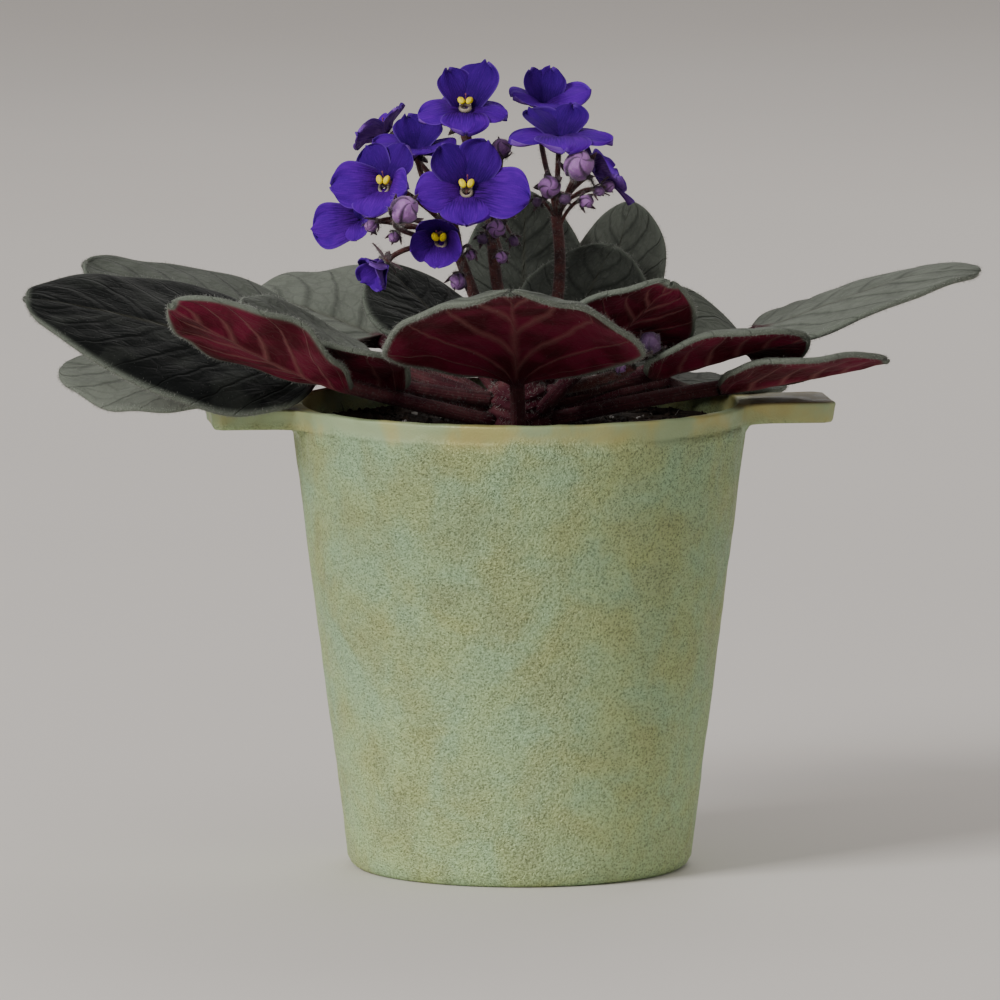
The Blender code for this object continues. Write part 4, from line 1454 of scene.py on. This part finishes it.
@dataclass
class Flower(Head):
    """An open flower: two shorter upper lobes, three broader lower ones, and a throat.

    The tilts lean the upper and the lower lobes forwards, and the cup bends each lobe
    further along its length. The sizes are shares of each lobe's usual size, in the order
    of LOBES. A flower with stamens shows them to the front, as a piece of their own. The
    lobes of a hidden throat meet in the middle. A tip curls back by an angle drawn from a
    range.
    """

    cup: float = 0.12
    stamens: bool = False
    hidden: bool = False
    tilts: tuple[float, float] = (0, 22)
    sizes: tuple[float, float, float, float, float] = (1, 1, 1, 1, 1)
    throat: float = 1.5
    half_thick: float = 0.22
    layer_gap: float = 0.22
    throat_slope: float = 28
    tip_curl: tuple[float, float] = (-34, -8)

    # Each lobe's direction, length and half width as shares of the radius, and layer.
    LOBES = ((122, 0.90, 0.48, 2), (64, 0.90, 0.50, 1), (-14, 1.02, 0.56, 3), (-166, 1.02, 0.56, 4),
             (-90, 0.90, 0.64, 5))

    def lobe(self, angle: float, length: float, half_width: float, layer: int,
             rng: np.random.Generator) -> tuple[Array, dict[str, Array]]:
        """One lobe's skin.

        Its slope starts steep in the throat, eases to the tilt, and its tip curls back.
        It widens as a power of the distance from the throat and is rounded off at its end
        by the root of one less a high power. Its sides arch and its margin ruffles.

        Args:
            angle: direction of the lobe, anticlockwise from the flower's right.
            length: reach from the centre, as a share of the flower's radius.
            half_width: half width, as a share of the flower's radius.
            layer: order in which the lobes lie on each other.
            rng: source of chance.

        Returns:
            The grid of points in metres, and the values that the finish reads.
        """
        turn = np.linspace(0, 1, 30)
        share = np.sin(np.pi / 2 * turn) * 0.997
        across = -np.cos(np.linspace(0, np.pi, 19))
        tilt = self.tilts[0] if angle > 0 else self.tilts[1]
        slope = np.radians(self.throat_slope * (1 - smooth(share / 0.3)) + tilt
                           + 120 * self.cup * share + rng.uniform(*self.tip_curl) * share ** 3)
        stride = np.diff(share, prepend=0) * (length * self.radius - self.throat)
        throat = 0.3 if self.hidden else self.throat
        reach = (throat + np.cumsum(np.cos(slope) * stride))[:, None]
        rise = np.cumsum(np.sin(slope) * stride)[:, None]
        half = (half_width * self.radius * (0.42 + 0.58 * share ** 0.75)
                * np.sqrt(1 - share ** 5))[:, None]
        run = share[:, None]
        side = across * half
        ruffle = (0.05 * self.radius * np.sin(np.pi * (1.6 * across + rng.uniform(0, 2)))
                  + 0.03 * self.radius * np.sin(np.pi * (3.7 * across + rng.uniform(0, 2))))
        rise = (rise + rng.uniform(-0.10, 0.16) * half * across ** 2 * run + ruffle * run ** 2.5
                + self.layer_gap * layer * smooth(run / 0.4))
        reach = reach - 0.22 * half * across ** 2 * run
        bearing = math.radians(angle + rng.uniform(-4, 4))
        right, up, out = self.axes()
        outward = right * math.cos(bearing) + up * math.sin(bearing)
        leftward = up * math.cos(bearing) - right * math.sin(bearing)
        middle = (np.array(self.centre) + outward * reach[..., None] + leftward * side[..., None]
                  + out * rise[..., None])
        thick = self.half_thick * (1 - 0.4 * run) * np.sqrt(1 - across ** 4)
        grid = sheet_grid(middle, thick, thick) * MM
        gap = np.minimum((1 - np.abs(across)) * half, (1 - run) * self.radius)
        values = {"along": there_and_back(run * np.ones_like(side)),
                  "across": there_and_back(np.broadcast_to(across, side.shape)),
                  "under": beneath_mask(len(share), len(across)),
                  "dusk": float(angle > 0),
                  "rim": there_and_back(np.clip(1 - gap / 0.45, 0, 1))}
        return grid, values

    def build(self, palette: Palette, seed: int) -> None:
        """Make the five lobes, with what shows in their throat.

        Args:
            palette: the materials.
            seed: seed of its chance.
        """
        rng = np.random.default_rng(seed)
        draft = Draft(self.name + "_corolla")
        for (angle, length, half_width, layer), size in zip(self.LOBES, self.sizes):
            grid, values = self.lobe(angle, length * size, half_width * size, layer, rng)
            draft.loft(grid, 0, **values)
        if self.hidden:
            settle(draft, [palette.petal], Slot.PETAL, self.name)
        elif self.stamens:
            self.add_ring(draft)
            settle(draft, [palette.petal, palette.throat], Slot.PETAL, self.name)
            pair = Draft(self.name.replace("flower", "stamens") + "_pair")
            self.add_stamens(pair, seed, 0, 1, 2)
            settle(pair, [palette.anther, palette.throat, palette.style], Slot.ANTHER,
                   self.name.replace("flower", "stamens"))
        else:
            self.add_ring(draft)
            self.add_stamens(draft, seed, 2, 1, 3)
            settle(draft, [palette.petal, palette.throat, palette.anther, palette.style],
                   Slot.PETAL, self.name)

    def add_ring(self, draft: Draft) -> None:
        """Add the pale ring of the throat: a small torus, with painted shade in its upper half.

        Args:
            draft: the mesh to add it to.
        """
        right, up, out = self.axes()
        turn = np.linspace(0, 2 * np.pi, 29)[:-1, None]
        pipe = np.linspace(0, 2 * np.pi, 13)[:-1]
        middle = np.array(self.centre) - up * 1.3 + out * 1.4
        spoke = right * np.cos(turn) + up * np.sin(turn)
        ring = (middle + spoke[:, None] * (1.45 + 0.42 * np.cos(pipe))[None, :, None]
                + out * (0.55 * np.sin(pipe))[None, :, None]) * MM
        index = np.arange(28 * 12).reshape(28, 12)
        ahead = np.roll(index, -1, axis=0)
        quads = np.stack((index, np.roll(index, -1, 1), np.roll(ahead, -1, 1), ahead), -1)
        # The upper half of the ring gets painted shade, below the anthers and upper lobes.
        low = np.repeat(np.clip(-np.sin(turn[:, 0]) + 0.1, 0, 1), 12)
        draft.add(ring.reshape(-1, 3), (quads.reshape(-1, 4),), 1, pale=low, fold=0.8 * (1 - low))

    def add_stamens(self, draft: Draft, seed: int, anther: int, stem: int, style_slot: int) -> None:
        """Add the two anthers, each an egg with a seam, and the style beside them.

        Args:
            draft: the mesh to add them to.
            seed: seed of the style's lean.
            anther: place of the anthers' finish.
            stem: place of the finish of their stems.
            style_slot: place of the style's finish.
        """
        right, up, out = self.axes()
        share = np.linspace(0.04, np.pi - 0.04, 18)[:, None]
        turn = np.linspace(0, 2 * np.pi, 20, endpoint=False)
        centre = np.array(self.centre)
        for hand in (-1, 1):
            girth = np.sin(share) * (1 - 0.16 * np.exp(-(np.sin((turn - 1.57) / 2) / 0.16) ** 2))
            shape = (right * (0.98 * girth * np.cos(turn))[..., None]
                     + out * (0.9 * girth * np.sin(turn))[..., None]
                     + (up + right * hand * 0.22) * (1.3 * np.cos(share) * np.ones(20))[..., None])
            seam = np.exp(-(np.sin((turn - 1.57) / 2) / 0.1) ** 2) * np.ones_like(share)
            draft.loft((centre + right * hand * 1.15 + up * 0.75 + out * 2.5 + shape)[::-1] * MM,
                       anther, fold=0.4 * seam)
            foot = bezier((centre + right * hand * 0.6 - up * 0.8 + out * 0.3,
                           centre + right * hand * 1.6 - up * 0.8 + out * 1.6,
                           centre + right * hand * 1.3 + up * 0.2 + out * 2.2), 8) * MM
            draft.loft(tube_grid(foot, np.full(9, 0.3 * MM), 8), stem, pale=1.0)
        lean = np.random.default_rng(seed).uniform(-1, 1)
        style = bezier((centre + out * 0.6, centre + out * 2.2 + up * 1.5 + right * lean,
                        centre + out * 3.2 + up * 2.9 + right * 0.8 * lean), 10) * MM
        draft.loft(tube_grid(style, np.linspace(0.2, 0.13, 11) * MM, 8), style_slot)
        beyond = (style[-1] - style[-2]) * 0.5
        knob = tube_grid(style[-3:] + beyond, np.array((0.13, 0.26, 0.2)) * MM, 8)
        draft.loft(knob, style_slot, pale=1.0)


@dataclass
class Bud(Head):
    """A closed bud: petals folded over one another round an egg.

    Stretch is its half length as a share of its radius. An unripe bud is darker.
    """

    stretch: float = 1.12
    dark: float = 0.0

    def depth(self) -> float:
        """How far its calyx stands behind its centre."""
        return self.radius * self.stretch + 0.3

    def sepal_course(self, share: Array) -> tuple[Array, Array]:
        """How a sepal hugs the egg, then its tip stands off.

        Args:
            share: places along the sepal, from 0 to 1.

        Returns:
            Distances outwards from the axis, and forwards from the bud's centre.
        """
        angle = np.radians(-82 + 105 * share)
        return ((self.radius + 0.45) * np.cos(angle) + 0.5 * self.radius * share ** 4,
                (self.radius * self.stretch + 0.3) * np.sin(angle))

    def add(self, draft: Draft, seed: int, petal: int, down: int) -> None:
        """Add the egg and its hairs; its radius steps down at each petal's swirling edge.

        Args:
            draft: the mesh to add them to.
            seed: seed of its chance.
            petal: place of the petals' finish.
            down: place of the hairs' finish.
        """
        rng = np.random.default_rng(seed)
        share = np.linspace(0.03, 0.985, 34)[:, None]
        turn = np.linspace(0, 2 * np.pi, 64, endpoint=False)
        swirl = turn + rng.uniform(0, 6) + 1.5 * share ** 2
        part = (swirl * 4 / (2 * np.pi)) % 1
        step = part * 0.28 * smooth((1 - part) / 0.12)
        body = np.sin(np.pi * share) ** 0.85
        girth = self.radius * 0.92 * body * (1 + step * smooth(share / 0.3) * (1 - 0.4 * share))
        right, up, out = self.axes()
        rise = -self.radius * self.stretch * np.cos(np.pi * share) * np.ones(64)
        grid = (np.array(self.centre) + right * (girth * np.cos(turn))[..., None]
                + up * (girth * np.sin(turn))[..., None] + out * rise[..., None]) * MM
        away = unit(grid - np.array(self.centre) * MM)
        grid += away * ripple(grid, 0.003, seed)[..., None] * 0.12 * MM
        # Each petal's edge is darkened: painted shade in the grooves between the folded petals.
        fold = np.maximum(smooth((part - 0.80) / 0.2), smooth((0.12 - part) / 0.12))
        fold = fold * smooth(share / 0.2)
        shade = np.maximum(0.95 * fold, self.dark)
        draft.loft(grid, petal, fold=shade, pale=0.9 * smooth(share * 1.5 - 0.6) * np.ones(64))
        Hairs((0.4, 0.8), 0.024, 0.5).cover(draft, grid, 14 * self.radius ** 2, down, rng, 0.5)

    def build(self, palette: Palette, seed: int) -> None:
        """Make the bud as one piece.

        Args:
            palette: the materials.
            seed: seed of its chance.
        """
        draft = Draft(self.name + "_folded")
        self.add(draft, seed, 0, 1)
        settle(draft, [palette.bud, palette.down], Slot.BUD, self.name)


# A head's name, its stalk, its centre, the direction and height that it faces, its radius.
FLOWERS = (
    Flower("flower_front", "stalk_middle", (-14.6, -26, 191.2), 270, 30, 16, cup=0.1, stamens=True,
           tilts=(20, 8), sizes=(0.98, 1.02, 1.14, 0.92, 0.92)),
    Flower("flower_left", "stalk_left", (-36.5, -18, 192), 240, 14, 13.9, cup=0.1, stamens=True,
           tilts=(2, 30), sizes=(1, 1, 0.9, 1.1, 1)),
    Flower("flower_far_left", "stalk_left", (-44, -2, 180.5), 235, 5, 15, hidden=True,
           tilts=(0, 12), sizes=(0.5, 0.45, 0.45, 1, 0.55)),
    Flower("flower_small", "stalk_left", (-21.5, -21, 178), 255, -20, 10, cup=0.5, stamens=True,
           tilts=(10, 18)),
    Flower("flower_top", "stalk_middle", (-15, -5, 211.5), 270, 60, 15, cup=0.1, stamens=True,
           tilts=(34, -8), sizes=(0.92, 1.1, 0.8, 0.9, 0.9)),
    Flower("flower_upright", "stalk_right", (6.5, 12, 211), 290, 60, 13.5, hidden=True,
           tilts=(40, 20), sizes=(0.95, 1.0, 1.1, 1, 1)),
    Flower("flower_middle", "stalk_right", (11, -8, 204), 280, 75, 16, hidden=True,
           tilts=(16, -6)),
    Flower("flower_right", "stalk_right", (20.5, 0, 193.5), 0, 30, 15, tilts=(0, 12)),
    Flower("flower_upper_left", "stalk_left", (-37, 16, 203), 165, 35, 11, tilts=(0, 20)),
    Flower("flower_rear", "stalk_middle", (-16, 17, 206.5), 90, 40, 10.5),
    Flower("flower_band", "stalk_left", (-28.5, 0, 199.5), 255, 72, 13.5, hidden=True,
           tilts=(34, 4)),
    Flower("flower_low", "stalk_left", (-37.4, -19, 170), 210, -40, 9, hidden=True,
           tilts=(30, 40)),
)
BUDS = (
    Bud("bud_left", "stalk_left", (-31.6, -36, 186.5), 300, 30, 3.7),
    Bud("bud_right", "stalk_right", (16.3, -16, 197), 280, 30, 4.0),
    Bud("bud_middle", "stalk_right", (8.2, -14, 190.8), 270, 0, 3.0),
    Bud("bud_right_small", "stalk_right", (18.5, -12, 186.6), 300, 0, 1.9),
    Bud("bud_high", "stalk_middle", (-5, -4, 200.7), 270, 50, 2.5),
    Bud("bud_under", "stalk_middle", (-6.5, -16, 179.5), 270, 0, 2.5),
    Bud("bud_tiny", "stalk_middle", (-5, -16, 171.4), 270, -20, 1.6),
    Bud("bud_low", "stalk_left", (-17, -18, 165), 260, -30, 2.2),
    Bud("bud_dark", "stalk_low", (36, -34, 149.6), 300, 50, 2.8, dark=0.75),
)

# Unripe buds, which are part of their stalk's piece.
SMALL_BUDS = (
    Bud("outer", "stalk_left", (-41, -14, 180), 230, -20, 1.7),
    Bud("inner", "stalk_left", (-34.6, -14, 176.8), 250, -30, 1.5),
    Bud("hanging", "stalk_left", (-13.5, -19, 172.4), 270, -40, 1.3),
    Bud("side", "stalk_right", (24.5, -10, 190.5), 330, 10, 1.6),
    Bud("lower", "stalk_low", (27.9, -21.5, 141.5), 290, 20, 1.6),
    Bud("under_right", "stalk_right", (12.5, -15, 187.5), 290, -20, 1.5, dark=0.7),
    Bud("beside", "stalk_right", (22.0, -13, 189.5), 310, -10, 1.4, dark=0.5),
    Bud("near", "stalk_right", (4.8, -13, 186.5), 260, -10, 1.4, dark=0.8),
    Bud("young", "stalk_middle", (-10.2, -17, 176.6), 260, -20, 1.5, dark=0.8),
    Bud("tucked", "stalk_middle", (-1.6, -16, 176.0), 280, -20, 1.4, dark=0.7),
    Bud("folded", "stalk_middle", (-3.4, -17, 184.0), 290, 10, 1.5, dark=0.4),
)


@dataclass
class FlowerStalk:
    """A flower stalk: its main stem, a small stalk for each head, and their sepals.

    The small stalks fork off over the last part of the route, whose share is branching.
    """

    name: str
    route: tuple[Triple, ...]
    radius: float = 1.9
    taper: float = 0.2
    branching: float = 0.12
    branch_steps: int = 8
    small_radius: float = 0.75

    STEM_HAIRS = Hairs((0.6, 1.3), 0.035, 0.3)
    FINE_HAIRS = Hairs((0.5, 1.1), 0.03, 0.3)
    SEPAL_HAIRS = Hairs((0.5, 1.3), 0.032, 0.5)

    def small_stalk(self, head: Head, fork: Array) -> Array:
        """The path of a small stalk: it rises from its fork and arrives from behind.

        Args:
            head: the head that it carries.
            fork: where it leaves the main stem.

        Returns:
            Points along it.
        """
        out = head.axes()[2]
        end = np.array(head.centre) - out * head.depth()
        reach = np.linalg.norm(end - fork)
        rise = np.array((0, 0, 0.25)) * reach
        return bezier((fork, fork + rise, end - out * reach * 0.4, end), 26)

    def sepals(self, draft: Draft, head: Head, rng: np.random.Generator) -> None:
        """Add five pointed sepals behind a head, each a hairy sheet along its course.

        Args:
            draft: the mesh to add them to.
            head: the flower or bud.
            rng: source of chance.
        """
        right, up, out = head.axes()
        small = min(1.0, head.radius / 3.0)
        share = np.linspace(0, 0.985, 18)
        across = -np.cos(np.linspace(0, np.pi, 9))
        for order in range(5):
            angle = 2 * np.pi * (order + rng.uniform(-0.12, 0.12)) / 5 + 0.6
            outward = right * math.cos(angle) + up * math.sin(angle)
            sideways = np.cross(out, outward)
            reach, rise = head.sepal_course(share * rng.uniform(0.85, 1.1))
            half = (1.2 * small * np.sin(np.pi * (0.12 + 0.88 * share) ** 0.75) ** 0.8)[:, None]
            path = np.array(head.centre) + outward * reach[:, None] + out * rise[:, None]
            away = unit(outward * np.maximum(reach, 0.1)[:, None] + out * (0.3 * rise)[:, None])
            middle = (path[:, None] + sideways * (across * half)[..., None]
                      - away[:, None] * (0.25 * half * across ** 2)[..., None])
            thick = 0.16 * np.sqrt(1 - across ** 4) * np.ones_like(half)
            grid = sheet_grid(middle, thick, thick) * MM
            draft.loft(grid, 1, pale=0.0)
            self.SEPAL_HAIRS.cover(draft, grid, 90 * small, 2, rng, 0.4)

    def build(self, palette: Palette, heads: Sequence[Head], seed: int) -> None:
        """Make the stalk with all that it carries behind its heads.

        Args:
            palette: the materials.
            heads: every flower and bud.
            seed: seed of its chance.
        """
        rng = np.random.default_rng(seed)
        draft = Draft(self.name + "_stems")
        path = bezier([np.array(point) for point in self.route], 48)
        main = tube_grid(path * MM, np.linspace(1, 1 - self.taper, 49) * self.radius * MM, 20)
        draft.loft(main, 0)
        length = float(np.linalg.norm(np.diff(path, axis=0), axis=1).sum())
        self.STEM_HAIRS.cover(draft, main, 22 * length, 2, rng, 0.45)
        mine = [head for head in heads if head.stalk == self.name]
        extra = [head for head in SMALL_BUDS if head.stalk == self.name]
        coarse = bezier([np.array(point) for point in self.route], self.branch_steps)
        for order, head in enumerate(mine + extra):
            below = self.branching * (order % len(mine) + 0.5) / len(mine) * self.branch_steps
            fork = coarse[-1] + (coarse[-2] - coarse[-1]) * below
            small = self.small_stalk(head, fork)
            flare = 1 + 0.9 * smooth((np.linspace(0, 1, 27) - 0.93) / 0.07)
            width = self.small_radius * min(1.0, 0.45 + head.radius / 8)
            grid = tube_grid(small * MM, width * flare * MM, 12)
            draft.loft(grid, 0)
            run = float(np.linalg.norm(np.diff(small, axis=0), axis=1).sum())
            self.FINE_HAIRS.cover(draft, grid, 14 * run, 2, rng, 0.45)
            self.sepals(draft, head, rng)
        for order, bud in enumerate(extra):
            bud.add(draft, seed + 10 * order, 3, 2)
        finishes = [palette.stalk, palette.sepal, palette.down, palette.bud]
        settle(draft, finishes, Slot.STALK, self.name)


@dataclass
class Blooms:
    """All flower stalks with their flowers and buds."""

    stalks: tuple[FlowerStalk, ...] = (
        FlowerStalk("stalk_left",
                    ((-4, -3, 138.5), (-9, -6, 150), (-13, -8, 161), (-17, -8, 172))),
        FlowerStalk("stalk_middle",
                    ((0, -6, 138), (-4, -5, 150), (-7.5, -3, 163), (-8, -2, 184))),
        FlowerStalk("stalk_right",
                    ((5, -2, 138.5), (10, -2, 151), (13, -3, 165), (10, -4, 182))),
        FlowerStalk("stalk_low",
                    ((10.6, -7.4, 134), (19, -12, 136), (27, -18, 138), (31, -22, 142))),
    )

    def build(self, palette: Palette) -> None:
        """Make every stalk, flower and bud.

        Args:
            palette: the materials.
        """
        for order, stalk in enumerate(self.stalks):
            stalk.build(palette, FLOWERS + BUDS, 200 + order)
        for order, head in enumerate(FLOWERS + BUDS):
            head.build(palette, 300 + order)


# ------------------------------------------------------------------ studio

@dataclass
class Studio:
    """A pale floor, soft light and the camera. Lengths here are in metres."""

    target: Triple = (-0.0054, 0.0, 0.1021)
    distance: float = 3.5
    elevation: float = 6.77
    lens: float = 453.2
    sensor: float = 36.0
    floor_reach: float = 12.0
    sky: Colour = (0.82, 0.78, 0.75)
    sky_power: float = 0.52

    LAMPS = (("key", (-1.8, -1.5, 1.5), 1.0, 62.0, (1.0, 0.98, 0.95)),
             ("fill", (1.6, -2.2, 0.9), 1.6, 3.0, (0.95, 0.97, 1.0)),
             ("back", (0.4, 1.9, 1.8), 1.4, 14.0, (1.0, 0.98, 0.96)))

    def lamp(self, name: str, place: Triple, size: float, power: float, tint: Colour) -> None:
        """Add a square soft light that faces the plant.

        Args:
            name: its name.
            place: where it stands.
            size: the length of its side.
            power: its power in watts.
            tint: its colour.
        """
        data = bpy.data.lights.new(name, "AREA")
        data.shape, data.size, data.energy, data.color = "SQUARE", size, power, tint
        lamp = bpy.data.objects.new(name, data)
        lamp.location = place
        aim = lamp.location.copy() - lamp.location.__class__(self.target)
        lamp.rotation_euler = aim.to_track_quat("Z", "Y").to_euler()
        bpy.context.scene.collection.objects.link(lamp)

    def build(self) -> None:
        """Lay the floor, hang the lights and place the camera."""
        turn = np.linspace(0, 2 * np.pi, 64, endpoint=False)
        floor_mesh = bpy.data.meshes.new("floor")
        rim = [(self.floor_reach * math.cos(a), self.floor_reach * math.sin(a), 0.0) for a in turn]
        floor_mesh.from_pydata(rim, [], [tuple(range(64))])
        floor_mesh.materials.append(Plain().make())
        floor = bpy.data.objects.new("floor", floor_mesh)
        bpy.context.scene.collection.objects.link(floor)
        world = bpy.data.worlds.new("studio")
        world.use_nodes = True
        background = world.node_tree.nodes["Background"]
        background.inputs["Color"].default_value = (*self.sky, 1.0)
        background.inputs["Strength"].default_value = self.sky_power
        bpy.context.scene.world = world
        for lamp in self.LAMPS:
            self.lamp(*lamp)
        data = bpy.data.cameras.new("camera")
        data.lens, data.sensor_width, data.clip_end = self.lens, self.sensor, 100.0
        camera = bpy.data.objects.new("camera", data)
        away = facing(270.0, self.elevation) * self.distance
        camera.location = tuple(np.array(self.target) + away)
        camera.rotation_euler = (math.radians(90 - self.elevation), 0.0, 0.0)
        bpy.context.scene.collection.objects.link(camera)
        bpy.context.scene.camera = camera


def corners(box: object) -> list[list[float]]:
    """A box's two corners as plain lists."""
    return [[float(number) for number in corner] for corner in box]


def main() -> None:
    """Build every piece, in the order in which a maker would."""
    logging.basicConfig(level=logging.INFO, format="%(name)s %(message)s")
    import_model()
    palette = Palette()
    pot = Pot()
    pot.build(palette)
    Soil(pot).build(palette)
    Crown().build(palette)
    Rosette().build(palette)
    Blooms().build(palette)
    Studio().build()
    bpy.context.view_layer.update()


if __name__ == "__main__":
    main()
